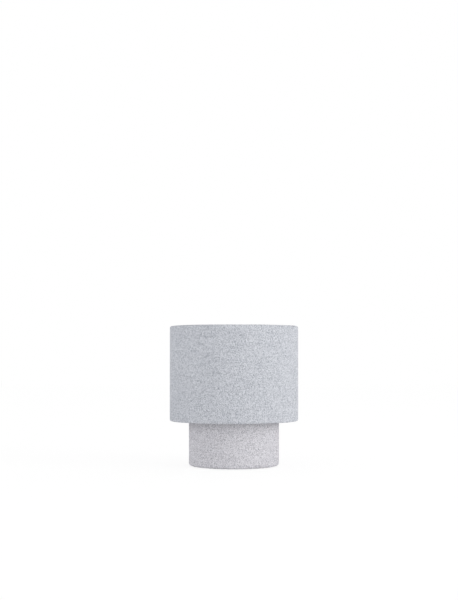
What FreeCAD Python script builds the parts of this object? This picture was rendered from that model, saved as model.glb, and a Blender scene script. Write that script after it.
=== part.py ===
import FreeCAD, Part
import math
import os
import re

import Sketcher

# A small table lamp without a cord. A weighted drum wrapped in cloth holds a wax candle
# lit by batteries, and a larger cloth drum hangs round it on a welded wire frame and lifts off.
# Lengths are in millimetres. The Z axis is the axis of both drums, the origin is the middle
# of the foot where it meets the table, and the back of the lamp is towards +Y.

SIZES = [
    # Cloth covers
    ("fabric_thickness", 1.2, "cloth with its backing"),
    ("liner_thickness", 0.8, "stiff sheet that the shade's cloth is glued to"),
    # Shade
    ("shade_diameter", 160.0, "width of the shade over its cloth"),
    ("shade_overlap", 9.0, "height of the base drum that the shade hides"),
    ("shade_height", 117.0, "height of the shade over its cloth"),
    ("ring_wire_radius", 1.6, "wire of the shade's two rings"),
    ("hem_ease", 0.05, "play of a ring inside its hem"),
    ("hem_wrap", 1.1, "height that a hem goes on round its ring before it slants"),
    ("hem_rise", 4.5, "height of the slanting stretch of a hem"),
    ("hem_tail", 4.1, "height of the stretch of a hem that is glued to the liner"),
    # Wire frame
    ("arm_wire_radius", 1.5, "wire of the three arms"),
    ("arm_count", 3, "arms round the frame"),
    ("arm_lift", 1.1, "height of an arm's middle above the seat ring"),
    ("arm_bend_margin", 3.6, "how far outside the base drum an arm turns down"),
    ("arm_bend_radius", 5.0, "bend of an arm along its middle"),
    ("arm_notch_gap", 0.3, "play between an arm and the slit in the hem"),
    ("seat_width", 8.0, "width of the flat ring that carries the shade"),
    ("seat_thickness", 2.0, "thickness of that ring"),
    ("seat_clearance", 0.3, "play of that ring round the deck's step"),
    # Base drum
    ("base_height", 66.0, "height of the base drum"),
    ("housing_wall", 2.2, "moulded side wall"),
    ("housing_floor", 2.5, "moulded floor"),
    ("housing_corner", 3.0, "outer round at the foot of the side wall"),
    ("housing_inner_corner", 1.0, "inner round at the foot of the side wall"),
    ("rim_fold", 9.0, "depth of the cloth folded inside the rim"),
    ("rim_clearance", 0.3, "play between the deck's edge and that fold"),
    ("foot_fold", 11.4, "width of the cloth folded under the drum"),
    ("foot_thickness", 1.8, "felt under the drum"),
    ("foot_gap", 0.5, "gap between the felt and the folded cloth"),
    ("tower_radius", 3.5, "posts that carry the deck, and those that hold the weight"),
    ("tower_count", 3, "posts of each kind"),
    ("tower_edge", 0.8, "margin from a deck screw's head to the edge of the well's flange"),
    ("rib_thickness", 1.8, "rib between a deck post and the wall"),
    ("rib_gap", 0.5, "gap over and under a rib"),
    ("post_height", 5.0, "height of the posts that hold the weight"),
    ("post_edge", 7.0, "middle of such a post in from the weight's edge"),
    ("post_play", 0.4, "play of the posts in the weight's holes"),
    ("ballast_thickness", 8.0, "steel weight"),
    ("ballast_margin", 6.0, "gap between the weight and the wall"),
    ("ballast_bevel", 0.6, "bevel of the weight's edges"),
    # Deck, well and seat
    ("deck_thickness", 1.2, "pressed steel deck"),
    ("deck_rise", 2.4, "height of the deck's step"),
    ("deck_margin", 1.5, "plain band on each side of the step and the seat"),
    ("deck_opening_gap", 0.9, "gap between the deck's opening and the well"),
    ("deck_round", 0.8, "outer round of the deck's two bends"),
    ("gasket_thickness", 1.0, "soft ring under the seat ring"),
    ("gasket_margin", 0.2, "how far the soft ring stays back from the step"),
    ("flange_width", 10.1, "flange of the well"),
    ("well_wall", 0.8, "spun metal of the well"),
    ("well_corner", 2.2, "inner round at the well's bottom"),
    ("well_lip", 1.4, "round at the well's mouth"),
    ("well_clearance", 0.8, "play of the candle in the well"),
    ("well_gap", 1.0, "gap between the well and the weight"),
    ("pad_thickness", 1.2, "soft pad at the well's bottom"),
    ("pad_margin", 0.1, "gap between the pad and the well's inner round"),
    # Screws of the base
    ("screw_radius", 1.45, "shank of the base's screws"),
    ("screw_thread_play", 0.05, "play of a shank in its post"),
    ("screw_hole_play", 0.25, "play of a shank in a plate"),
    ("screw_head_radius", 2.9, "head of the base's screws"),
    ("screw_head_height", 2.0, "height of those heads"),
    ("screw_socket_radius", 1.15, "six-sided socket, over its corners"),
    ("deck_screw_length", 10.0, "shank of a deck screw"),
    ("ballast_screw_length", 7.0, "shank of a weight screw"),
    ("screw_tip_gap", 0.5, "room left under a screw's tip"),
    # Candle, from the two cells outwards
    ("cell_radius", 7.25, "round cell"),
    ("cell_length", 50.5, "round cell with its nub"),
    ("cell_nub_radius", 2.75, "nub of a cell"),
    ("cell_nub_height", 1.3, "height of that nub"),
    ("cell_edge", 0.8, "round of a cell's edges"),
    ("cell_clearance", 0.25, "play of a cell in its tube"),
    ("cell_web", 0.4, "half the wall between the two tubes"),
    ("tube_wall", 1.0, "wall of a tube"),
    ("door_margin", 0.3, "margin from the tubes to the battery opening"),
    ("door_clearance", 0.3, "play of the door in its opening"),
    ("door_round", 0.3, "round of the door's lower edge"),
    ("lug_count", 2, "lugs of the door and notches of the cap"),
    ("lug_length", 1.6, "reach of a lug past the opening"),
    ("lug_width", 8.0, "width of a lug"),
    ("lug_thickness", 1.2, "thickness of a lug"),
    ("lug_gap", 0.2, "play over the cap under a lug"),
    ("lug_root", 2.2, "how far a lug starts inside the hub"),
    ("door_hub_step", 1.2, "step from the door's disc to its hub"),
    ("door_angle", 50.0, "angle in degrees from shut to the notches"),
    ("notch_margin", 0.4, "play of a lug in its notch"),
    ("coin_slot_length", 18.0, "slot for a coin"),
    ("coin_slot_width", 2.2, "width of that slot"),
    ("coin_slot_depth", 1.2, "depth of that slot"),
    ("contact_thickness", 0.4, "sheet of the contacts"),
    ("contact_margin", 0.7, "how far the door's contact stays inside the hub"),
    ("contact_play", 0.2, "room between a cell and the door's contact"),
    ("contact_radius", 5.0, "round contact over one cell"),
    ("contact_gap", 0.1, "room between that contact and its cell"),
    ("holder_gap", 0.4, "room between the tubes and the lugs"),
    ("spring_height", 4.0, "spring over the other cell"),
    ("spring_radius", 3.2, "middle of the spring's wire"),
    ("spring_wire_radius", 0.3, "wire of that spring"),
    ("spring_pitch", 1.15, "climb of that spring in a turn"),
    ("switch_gap", 0.4, "room between the lugs and the switch"),
    ("switch_depth", 3.7, "switch, measured outwards"),
    ("switch_length", 8.6, "switch, measured along its travel"),
    ("switch_height", 3.6, "height of the switch"),
    ("switch_margin", 1.3, "room between the switch and the barrel"),
    ("switch_travel", 2.5, "travel of the knob"),
    ("knob_length", 2.0, "knob, measured along its travel"),
    ("knob_width", 1.6, "width of the knob"),
    ("knob_foot", 0.2, "height of the knob's end above the candle's foot"),
    ("knob_gap", 0.1, "room between the knob and the switch"),
    ("knob_slot_play", 0.2, "play of the knob in its slot"),
    ("lead_radius", 0.6, "insulated wire"),
    ("lead_spacing", 5.0, "distance between the switch's two wires"),
    ("lead_setback", 0.5, "how far the wires stand out from the switch's inner side"),
    ("lead_notch_play", 0.4, "play of the wires in the flange's notch"),
    ("core_foot", 0.6, "height of the barrel's end above the candle's foot"),
    ("core_wall", 1.6, "wall of the barrel"),
    ("ledge_width", 3.2, "ledge that carries the tubes' flange"),
    ("ledge_thickness", 2.0, "thickness of that ledge"),
    ("flange_clearance", 0.3, "play of the flange and the cap in the barrel"),
    ("flange_thickness", 2.0, "flange of the tubes"),
    ("cap_recess", 0.8, "height of the cap above the candle's foot"),
    ("cap_thickness", 2.4, "cap under the barrel"),
    ("boss_radius", 2.7, "boss that takes a cap screw"),
    ("boss_bite", 0.1, "how far a boss runs into the barrel's wall"),
    ("boss_height", 8.0, "height of a boss"),
    ("boss_angle", 115.0, "angle in degrees of the first boss from the X axis"),
    ("cap_screw_count", 2, "screws of the cap"),
    ("cap_screw_radius", 0.95, "shank of a cap screw"),
    ("cap_screw_head_radius", 1.7, "head of a cap screw"),
    ("cap_screw_head_height", 1.1, "height of that head"),
    ("cap_screw_sink", 1.3, "depth of the sinking for that head"),
    ("cap_screw_play", 0.15, "play of that head in its sinking"),
    ("cap_screw_length", 6.5, "shank of a cap screw"),
    ("board_gap", 1.7, "gap between the board's edge and the barrel"),
    ("board_thickness", 1.6, "circuit board"),
    ("chip_length", 6.0, "chip on the board"),
    ("chip_width", 5.0, "width of that chip"),
    ("chip_height", 1.5, "height of that chip"),
    ("resistor_length", 3.2, "resistor on the board"),
    ("resistor_width", 1.6, "width of a resistor"),
    ("resistor_height", 0.6, "height of a resistor"),
    ("capacitor_radius", 2.5, "capacitor on the board"),
    ("capacitor_height", 7.0, "height of that capacitor"),
    ("part_spacing", 7.0, "distance between the parts on the board"),
    ("part_setback", 15.0, "distance of the parts from the candle's axis"),
    ("wax_clearance", 0.2, "glue between the barrel and the wax"),
    ("wax_wall", 3.0, "wall of the wax"),
    ("wax_foot_round", 0.8, "round at the foot of the wax"),
    ("wax_rim_width", 2.2, "rim of the wax, melted thin"),
    ("wax_rim_round", 1.0, "round of that rim"),
    ("wax_bowl_round", 4.0, "round between the bowl's side and its floor"),
    ("wax_bowl_slope", 1.6, "how far the bowl's side leans in"),
    ("wax_floor", 2.5, "wax under the bowl"),
    ("pool_depth", 11.0, "depth of the bowl under the rim"),
    ("dip_radius", 16.0, "round of the dips melted into the rim"),
    ("dip_depth", 2.6, "depth of a dip"),
    ("dip_count", 3, "dips round the rim"),
    ("dip_angle", 35.0, "angle in degrees of the first dip from the Y axis"),
    # Flame and what moves it
    ("chimney_radius", 7.2, "bore of the tube round the flame's foot"),
    ("chimney_wall", 1.6, "wall of that tube"),
    ("chimney_wax_gap", 1.0, "gap between that tube and the wax"),
    ("collar_width", 3.7, "collar that lies on the wax"),
    ("collar_thickness", 1.0, "thickness of that collar"),
    ("collar_round", 0.4, "round of the collar's edges"),
    ("shelf_thickness", 1.5, "shelf for the light"),
    ("shelf_width", 6.0, "width of that shelf"),
    ("shelf_drop", 7.0, "height of the flame's pivot above the shelf"),
    ("shelf_gap", 2.6, "gap between the shelf and the candle's axis"),
    ("shelf_bite", 0.4, "how far the shelf runs into the tube's wall"),
    ("bobbin_radius", 4.7, "flanges of the bobbin"),
    ("bobbin_core_radius", 2.2, "core of the bobbin"),
    ("bobbin_bore", 1.2, "bore of the bobbin"),
    ("bobbin_height", 4.0, "height of the bobbin"),
    ("bobbin_flange", 0.8, "thickness of its flanges"),
    ("coil_margin", 0.2, "how far the winding stays inside the flanges"),
    ("magnet_radius", 4.5, "round magnet under the flame"),
    ("magnet_height", 3.5, "height of that magnet"),
    ("magnet_gap", 1.95, "room between the magnet and the bobbin"),
    ("magnet_drop", 13.0, "height of the pivot above the magnet's middle"),
    ("pivot_drop", 5.0, "height of the bowl's floor above the pivot"),
    ("pivot_wire_radius", 0.4, "wire that the flame hangs on"),
    ("pivot_play", 0.08, "play of the flame on that wire"),
    ("pivot_hold", 0.02, "play of the wire in the tube's walls"),
    ("pivot_wire_end", 0.2, "how far the wire's ends stay inside the tube"),
    ("pivot_eye_radius", 1.8, "eye round the pivot"),
    ("stem_width", 5.0, "stem of the flame"),
    ("stem_thickness", 1.4, "thickness of the stem"),
    ("stem_rise", 3.0, "height of the flame's lowest section above the pivot"),
    ("flame_height", 40.0, "flame above that section"),
    ("flame_half_width", 6.4, "half the width of the flame"),
    ("flame_half_thickness", 1.2, "half the thickness of the flame"),
    ("led_radius", 1.5, "lens of the light"),
    ("led_rim_radius", 1.8, "rim of the light"),
    ("led_rim_height", 0.9, "height of that rim"),
    ("led_height", 5.2, "height of the light"),
    ("led_dome", 1.4, "round of the lens"),
    ("led_setback", 5.3, "distance of the light from the candle's axis"),
    ("led_lead_radius", 0.25, "bare wire of the light"),
    ("led_lead_spacing", 2.54, "distance between the light's two wires"),
    ("led_lead_play", 0.15, "play of those wires in the shelf"),
]

# Shares of the sizes that they follow
rim_round_share = 0.45
screw_tip_round_share = 0.25
screw_head_foot_share = 0.125
screw_head_dome_share = 0.75
screw_socket_share = 0.5
hexagon_share = math.sqrt(3) / 2
flame_section_shares = [
    # height, width, thickness, lean
    (0.0, 0.40, 0.60, 0.0),
    (0.09, 0.72, 0.85, 0.0),
    (0.22, 0.97, 1.0, 0.0),
    (0.36, 1.0, 1.0, -0.02),
    (0.52, 0.84, 0.92, -0.05),
    (0.68, 0.58, 0.78, -0.05),
    (0.83, 0.33, 0.60, 0.02),
    (0.94, 0.15, 0.42, 0.12),
    (1.0, 0.05, 0.25, 0.18),
]
resistor_place_shares = [(-1.0, 0.0), (-1.0, 0.55)]

NAMES = {name for name, _, _ in SIZES}

# Radii, from the two cells outwards
BORE_RADIUS = "(cell_radius + cell_clearance)"
CELL_OFFSET = f"({BORE_RADIUS} + cell_web)"
TUBE_RADIUS = f"({BORE_RADIUS} + tube_wall)"
OPENING_RADIUS = f"({CELL_OFFSET} + {TUBE_RADIUS} + door_margin)"
DOOR_RADIUS = f"({OPENING_RADIUS} - door_clearance)"
HUB_RADIUS = f"({DOOR_RADIUS} - door_hub_step)"
LUG_REACH = f"({OPENING_RADIUS} + lug_length)"
SWITCH_INNER = f"({LUG_REACH} + switch_gap)"
SWITCH_OUTER = f"({SWITCH_INNER} + switch_depth)"
SWITCH_MIDDLE = f"({SWITCH_INNER} + switch_depth / 2)"
CORE_INNER = f"({SWITCH_OUTER} + switch_margin)"
FLANGE_FIT = f"({CORE_INNER} - flange_clearance)"
CORE_OUTER = f"({CORE_INNER} + core_wall)"
WAX_INNER = f"({CORE_OUTER} + wax_clearance)"
CANDLE_RADIUS = f"({WAX_INNER} + wax_wall)"
WELL_INNER = f"({CANDLE_RADIUS} + well_clearance)"
WELL_OUTER = f"({WELL_INNER} + well_wall)"
FLANGE_RADIUS = f"({WELL_OUTER} + flange_width)"
STEP_RADIUS = f"({FLANGE_RADIUS} + deck_margin)"
SEAT_INNER = f"({STEP_RADIUS} + seat_clearance)"
SEAT_OUTER = f"({SEAT_INNER} + seat_width)"
DECK_RADIUS = f"({SEAT_OUTER} + deck_margin)"
FOLD_INNER = f"({DECK_RADIUS} + rim_clearance)"
HOUSING_INNER = f"({FOLD_INNER} + fabric_thickness)"
HOUSING_RADIUS = f"({HOUSING_INNER} + housing_wall)"
BASE_RADIUS = f"({HOUSING_RADIUS} + fabric_thickness)"
SHADE_RADIUS = "(shade_diameter / 2)"
LINER_OUTER = f"({SHADE_RADIUS} - fabric_thickness)"
LINER_INNER = f"({LINER_OUTER} - liner_thickness)"
RING_RADIUS = f"({LINER_INNER} - ring_wire_radius)"
BALLAST_RADIUS = f"({HOUSING_INNER} - ballast_margin)"
TOWER_CIRCLE = f"({FLANGE_RADIUS} - screw_head_radius - tower_edge)"
POST_CIRCLE = f"({BALLAST_RADIUS} - post_edge)"
BOSS_CIRCLE = f"({CORE_INNER} - boss_radius + boss_bite)"
CHIMNEY_OUTER = "(chimney_radius + chimney_wall)"

# Heights of the base and the shade, from the table
FLOOR_TOP = "(foot_thickness + housing_floor)"
BALLAST_TOP = f"({FLOOR_TOP} + ballast_thickness)"
WELL_BOTTOM = f"({BALLAST_TOP} + well_gap)"
WELL_FLOOR = f"({WELL_BOTTOM} + well_wall)"
CANDLE_FOOT = f"({WELL_FLOOR} + pad_thickness)"
DECK_EDGE = "(base_height - gasket_thickness)"
DECK_TOP = f"({DECK_EDGE} + deck_rise)"
TOWER_TOP = f"({DECK_TOP} - deck_thickness)"
WELL_TOP = f"({DECK_TOP} + well_wall)"
SEAT_TOP = "(base_height + seat_thickness)"
ARM_LEVEL = f"({SEAT_TOP} + arm_lift)"
SHADE_FOOT = "(base_height - shade_overlap)"
SHADE_TOP = f"({SHADE_FOOT} + shade_height)"
LOWER_RING = f"({SHADE_FOOT} + fabric_thickness + ring_wire_radius)"
UPPER_RING = f"({SHADE_TOP} - fabric_thickness - ring_wire_radius)"

# Heights of the candle, from its own foot
CAP_TOP = "(cap_recess + cap_thickness)"
LUG_FOOT = f"({CAP_TOP} + lug_gap)"
LUG_TOP = f"({LUG_FOOT} + lug_thickness)"
CELL_FOOT = f"({LUG_TOP} + contact_thickness + contact_play)"
CELL_TOP = f"({CELL_FOOT} + cell_length)"
TUBE_FOOT = f"({LUG_TOP} + holder_gap)"
FLANGE_FOOT = f"({CELL_TOP} + spring_height)"
FLANGE_TOP = f"({FLANGE_FOOT} + flange_thickness)"
BOARD_TOP = f"({FLANGE_TOP} + board_thickness)"
BOBBIN_TOP = f"({BOARD_TOP} + bobbin_height)"
MAGNET_FOOT = f"({BOBBIN_TOP} + magnet_gap)"
MAGNET_TOP = f"({MAGNET_FOOT} + magnet_height)"
PIVOT = f"({MAGNET_FOOT} + magnet_height / 2 + magnet_drop)"
POOL = f"({PIVOT} + pivot_drop)"
WAX_TOP = f"({POOL} + pool_depth)"
CORE_TOP = f"({POOL} - wax_floor - wax_clearance)"
SHELF_TOP = f"({PIVOT} - shelf_drop)"
SWITCH_FOOT = CAP_TOP

doc = FreeCAD.newDocument("CandleLamp")
sheet = doc.addObject("Spreadsheet::Sheet", "Sizes")
parts = []


def fill_sheet():
    """Write each driving size into its own cell of the sheet and name the cell."""
    for row, (name, number, note) in enumerate(SIZES, start=1):
        sheet.set(f"A{row}", name)
        sheet.set(f"B{row}", str(number))
        sheet.set(f"C{row}", note)
        sheet.setAlias(f"B{row}", name)
    doc.recompute()


def bound(formula):
    """Return a formula in which each named size points at its cell."""
    return re.sub(r"[a-z_]+", lambda word: f"Sizes.{word[0]}" if word[0] in NAMES else word[0], formula)


def value(formula):
    """Return the number that a formula gives with the sheet as it stands."""
    result = sheet.evalExpression(bound(formula))
    return float(getattr(result, "Value", result))


def minus(formula):
    """Return the formula with its sign turned."""
    return "0" if formula == "0" else f"-({formula})"


def origin_part(body, role):
    """Return one of the body's own origin planes or axes."""
    return next(item for item in body.Origin.OriginFeatures if item.Role == role)


def new_body(name):
    """Start a piece, in the frame of the whole lamp."""
    body = doc.addObject("PartDesign::Body", name)
    body.Label = name
    parts.append(body)
    return body


def candle_body(name):
    """Start a piece that is drawn in the candle's own frame and stands where the candle stands."""
    body = new_body(name)
    body.setExpression(".Placement.Base.z", bound(CANDLE_FOOT))
    return body


def flat_sketch(body, name, level="0", turn="0"):
    """Start a sketch that lies flat at a level and is turned about the Z axis."""
    sketch = body.newObject("Sketcher::SketchObject", name)
    sketch.AttachmentSupport = [(origin_part(body, "XY_Plane"), "")]
    sketch.MapMode = "FlatFace"
    if level != "0":
        sketch.setExpression(".AttachmentOffset.Base.z", bound(level))
    if turn != "0":
        sketch.setExpression(".AttachmentOffset.Rotation.Angle", bound(turn))
    return sketch


def upright_sketch(body, name, x="0", y="0"):
    """Start a sketch that stands facing the front, with its upright axis at x and y."""
    sketch = body.newObject("Sketcher::SketchObject", name)
    sketch.AttachmentSupport = [(origin_part(body, "XZ_Plane"), "")]
    sketch.MapMode = "FlatFace"
    if x != "0":
        sketch.setExpression(".AttachmentOffset.Base.x", bound(x))
    if y != "0":
        sketch.setExpression(".AttachmentOffset.Base.z", bound(minus(y)))
    return sketch


def side_sketch(body, name):
    """Start a sketch that stands facing the side, with Y to its right and Z up."""
    sketch = body.newObject("Sketcher::SketchObject", name)
    sketch.AttachmentSupport = [(origin_part(body, "YZ_Plane"), "")]
    sketch.MapMode = "FlatFace"
    return sketch


def hold(sketch, rules):
    """Add constraints to a sketch and tie each one that has a formula to the sheet."""
    indices = sketch.addConstraint([rule for rule, _ in rules])
    for index, (_, formula) in zip(indices, rules):
        if formula:
            sketch.setExpression(f"Constraints[{index}]", bound(formula))


def place_rules(geometry, point, x, y):
    """Return the constraints that hold a point of a sketch at x and y."""
    rules = []
    for kind, formula, axis in (("DistanceX", x, -2), ("DistanceY", y, -1)):
        if formula == "0":
            rules.append((Sketcher.Constraint("PointOnObject", geometry, point, axis), None))
        else:
            rule = Sketcher.Constraint(kind, -1, 1, geometry, point, value(formula))
            rules.append((rule, formula))
    return rules


def corner_arc(before, corner, after, radius):
    """Return where a rounded corner starts and ends, its arc, and whether it turns left."""
    into = (corner - before).normalize()
    out = (after - corner).normalize()
    left = into.x * out.y - into.y * out.x > 0
    reach = radius * math.tan(into.getAngle(out) / 2)
    start = corner - into * reach
    end = corner + out * reach
    side = FreeCAD.Vector(-into.y, into.x, 0) * (1 if left else -1)
    centre = start + side * radius
    angles = [math.atan2(spot.y - centre.y, spot.x - centre.x) for spot in (start, end)]
    circle = Part.Circle(centre, FreeCAD.Vector(0, 0, 1), radius)
    arc = Part.ArcOfCircle(circle, *(angles if left else reversed(angles)))
    return start, end, arc, left


def outline(sketch, corners, closed=True):
    """Draw straight lines from corner to corner, and round each corner that gives a radius.

    A corner is its place in the sketch, and may have a radius as a third size. A rounded
    corner keeps its place as a construction point, on the lines that meet there.
    """
    spots = [FreeCAD.Vector(value(corner[0]), value(corner[1]), 0) for corner in corners]
    count = len(corners)
    starts = list(spots)
    ends = list(spots)
    arcs = {}
    for index, corner in enumerate(corners):
        if len(corner) == 3:
            before, after = spots[index - 1], spots[(index + 1) % count]
            start, end, arc, left = corner_arc(before, spots[index], after, value(corner[2]))
            starts[index], ends[index] = start, end
            arcs[index] = (sketch.addGeometry(arc), left)
    line_count = count if closed else count - 1
    lines = [
        sketch.addGeometry(Part.LineSegment(ends[index], starts[(index + 1) % count]))
        for index in range(line_count)
    ]
    rules = []
    for index, corner in enumerate(corners):
        before = lines[index - 1] if closed or index > 0 else None
        after = lines[index] if index < line_count else None
        if index in arcs:
            arc, left = arcs[index]
            point = sketch.addGeometry(Part.Point(spots[index]), True)
            first, last = (1, 2) if left else (2, 1)
            rules += [
                (Sketcher.Constraint("Tangent", before, 2, arc, first), None),
                (Sketcher.Constraint("Tangent", arc, last, after, 1), None),
                (Sketcher.Constraint("PointOnObject", point, 1, before), None),
                (Sketcher.Constraint("PointOnObject", point, 1, after), None),
                (Sketcher.Constraint("Radius", arc, value(corner[2])), corner[2]),
            ]
            rules += place_rules(point, 1, corner[0], corner[1])
        elif before is None:
            rules += place_rules(after, 1, corner[0], corner[1])
        else:
            if after is not None:
                rules.append((Sketcher.Constraint("Coincident", before, 2, after, 1), None))
            rules += place_rules(before, 2, corner[0], corner[1])
    hold(sketch, rules)


def block(sketch, x, y, length, width):
    """Draw a rectangle about the point x, y."""
    left, right = f"{x} - {length} / 2", f"{x} + {length} / 2"
    low, high = f"{y} - {width} / 2", f"{y} + {width} / 2"
    outline(sketch, [(left, low), (right, low), (right, high), (left, high)])


def circle(sketch, x, y, radius):
    """Draw a circle about the point x, y."""
    centre = FreeCAD.Vector(value(x), value(y), 0)
    index = sketch.addGeometry(Part.Circle(centre, FreeCAD.Vector(0, 0, 1), value(radius)))
    rules = place_rules(index, 3, x, y)
    rules.append((Sketcher.Constraint("Radius", index, value(radius)), radius))
    hold(sketch, rules)


def ellipse(sketch, x, half_length, half_width):
    """Draw an ellipse about a point on the sketch's X axis, with its long axis along X."""
    centre = FreeCAD.Vector(value(x), 0, 0)
    end = centre + FreeCAD.Vector(value(half_length), 0, 0)
    side = centre + FreeCAD.Vector(0, value(half_width), 0)
    index = sketch.addGeometry(Part.Ellipse(end, side, centre))
    sketch.exposeInternalGeometry(index)
    long_axis, short_axis = index + 1, index + 2
    rules = place_rules(index, 3, x, "0")
    rules.append((Sketcher.Constraint("Horizontal", long_axis), None))
    for axis, size in ((long_axis, half_length), (short_axis, half_width)):
        rules.append((Sketcher.Constraint("Distance", axis, 2 * value(size)), f"2 * {size}"))
    hold(sketch, rules)


def turned(body, name, corners, x="0", y="0"):
    """Turn an outline of radius and height all the way round an upright axis at x and y."""
    sketch = upright_sketch(body, f"{name}_outline", x, y)
    outline(sketch, corners)
    feature = body.newObject("PartDesign::Revolution", name)
    feature.Profile = sketch
    feature.ReferenceAxis = (sketch, ["V_Axis"])
    feature.Angle = 360
    return feature


def raised(body, name, sketch, height):
    """Pad a sketch upwards, or towards the front if it stands facing the front."""
    feature = body.newObject("PartDesign::Pad", name)
    feature.Profile = sketch
    feature.setExpression("Length", bound(height))
    return feature


def sunk(body, name, sketch, depth):
    """Cut a sketch downwards, or towards the back if it stands facing the front."""
    feature = body.newObject("PartDesign::Pocket", name)
    feature.Profile = sketch
    feature.setExpression("Length", bound(depth))
    return feature


def around(body, name, features, count):
    """Repeat features evenly round the Z axis of the body."""
    pattern = body.newObject("PartDesign::PolarPattern", name)
    pattern.Originals = features
    pattern.Axis = (origin_part(body, "Z_Axis"), [""])
    pattern.Angle = 360
    pattern.setExpression("Occurrences", bound(count))
    body.Tip = pattern
    return pattern


def round_hole(body, name, x, y, radius, top, bottom, turn="0"):
    """Cut a round hole straight down from one height to another."""
    sketch = flat_sketch(body, f"{name}_circle", top, turn)
    circle(sketch, x, y, radius)
    return sunk(body, name, sketch, f"{top} - {bottom}")


def round_post(body, name, x, y, radius, bottom, top, turn="0"):
    """Add a round post that stands between two heights."""
    sketch = flat_sketch(body, f"{name}_circle", bottom, turn)
    circle(sketch, x, y, radius)
    return raised(body, name, sketch, f"{top} - {bottom}")


def square_hole(body, name, x, y, length, width, top, bottom, turn="0"):
    """Cut a rectangular hole straight down from one height to another."""
    sketch = flat_sketch(body, f"{name}_rectangle", top, turn)
    block(sketch, x, y, length, width)
    return sunk(body, name, sketch, f"{top} - {bottom}")


def square_post(body, name, x, y, length, width, bottom, top, turn="0"):
    """Add a rectangular block that stands between two heights."""
    sketch = flat_sketch(body, f"{name}_rectangle", bottom, turn)
    block(sketch, x, y, length, width)
    return raised(body, name, sketch, f"{top} - {bottom}")


def ring_outline(inner, outer, bottom, top):
    """Return the corners of a plain ring's section."""
    return [(inner, bottom), (outer, bottom), (outer, top), (inner, top)]


def screws(name, y, seat, length, count):
    """Make a group of button head screws round the Z axis, head up, the first on the Y axis at y."""
    body = new_body(name)
    tip = f"({seat} - {length})"
    head = f"({seat} + screw_head_height)"
    shape = [
        ("0", tip),
        ("screw_radius", tip, f"screw_radius * {screw_tip_round_share}"),
        ("screw_radius", seat),
        ("screw_head_radius", seat, f"screw_head_height * {screw_head_foot_share}"),
        ("screw_head_radius", head, f"screw_head_height * {screw_head_dome_share}"),
        ("0", head),
    ]
    button = turned(body, "Button", shape, y=y)
    sketch = flat_sketch(body, "Socket_corners", head)
    far = "screw_socket_radius"
    near = "screw_socket_radius / 2"
    side = f"screw_socket_radius * {hexagon_share}"
    corners = [
        (far, y),
        (near, f"{y} + {side}"),
        (minus(near), f"{y} + {side}"),
        (minus(far), y),
        (minus(near), f"{y} - {side}"),
        (near, f"{y} - {side}"),
    ]
    outline(sketch, corners)
    socket = sunk(body, "Socket", sketch, f"screw_head_height * {screw_socket_share}")
    around(body, "Screws", [button, socket], count)


def make_foot_pad():
    """Felt disc that the lamp stands on."""
    body = new_body("foot_pad")
    radius = f"({BASE_RADIUS} - foot_fold - foot_gap)"
    turned(body, "Disc", [("0", "0"), (radius, "0"), (radius, "foot_thickness"), ("0", "foot_thickness")])


def make_base_housing():
    """Moulded cup with posts for the deck, posts for the weight and ribs to its wall."""
    body = new_body("base_housing")
    rim = f"housing_wall * {rim_round_share}"
    top = "(base_height - fabric_thickness)"
    cup = [
        ("0", "foot_thickness"),
        (HOUSING_RADIUS, "foot_thickness", "housing_corner"),
        (HOUSING_RADIUS, top, rim),
        (HOUSING_INNER, top, rim),
        (HOUSING_INNER, FLOOR_TOP, "housing_inner_corner"),
        ("0", FLOOR_TOP),
    ]
    turned(body, "Cup", cup)
    tower = round_post(body, "Tower", "0", TOWER_CIRCLE, "tower_radius", FLOOR_TOP, TOWER_TOP)
    rib_foot = f"({BALLAST_TOP} + rib_gap)"
    rib_top = "(base_height - rim_fold - rib_gap)"
    rib_start = f"({TOWER_CIRCLE} + tower_radius / 2)"
    rib_end = f"({HOUSING_INNER} + housing_wall / 2)"
    rib_middle = f"(({rib_start} + {rib_end}) / 2)"
    rib_length = f"({rib_end} - {rib_start})"
    rib = square_post(body, "Rib", "0", rib_middle, "rib_thickness", rib_length, rib_foot, rib_top)
    thread = f"{WELL_TOP} - deck_screw_length - screw_tip_gap"
    hole_radius = "(screw_radius + screw_thread_play)"
    hole = round_hole(body, "TowerHole", "0", TOWER_CIRCLE, hole_radius, TOWER_TOP, f"({thread})")
    around(body, "Towers", [tower, rib, hole], "tower_count")
    post_top = f"({FLOOR_TOP} + post_height)"
    post = round_post(body, "Post", "0", minus(POST_CIRCLE), "tower_radius", FLOOR_TOP, post_top)
    tip = f"({BALLAST_TOP} - ballast_screw_length - screw_tip_gap)"
    bore = round_hole(body, "PostHole", "0", minus(POST_CIRCLE), hole_radius, post_top, tip)
    around(body, "Posts", [post, bore], "tower_count")


def make_ballast_disc():
    """Steel weight on the housing's floor, with round holes for the posts."""
    body = new_body("ballast_disc")
    bevel = "ballast_bevel"
    disc = [
        ("0", FLOOR_TOP),
        (f"{BALLAST_RADIUS} - {bevel}", FLOOR_TOP),
        (BALLAST_RADIUS, f"{FLOOR_TOP} + {bevel}"),
        (BALLAST_RADIUS, f"{BALLAST_TOP} - {bevel}"),
        (f"{BALLAST_RADIUS} - {bevel}", BALLAST_TOP),
        ("0", BALLAST_TOP),
    ]
    turned(body, "Disc", disc)
    wide = "(tower_radius + post_play)"
    narrow = "(screw_radius + screw_hole_play)"
    recess_top = f"({FLOOR_TOP} + post_height + post_play)"
    tower = round_hole(body, "TowerHole", "0", TOWER_CIRCLE, wide, BALLAST_TOP, FLOOR_TOP)
    recess = round_hole(body, "PostRecess", "0", minus(POST_CIRCLE), wide, recess_top, FLOOR_TOP)
    hole = round_hole(body, "ScrewHole", "0", minus(POST_CIRCLE), narrow, BALLAST_TOP, FLOOR_TOP)
    around(body, "Holes", [tower, recess, hole], "tower_count")


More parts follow.
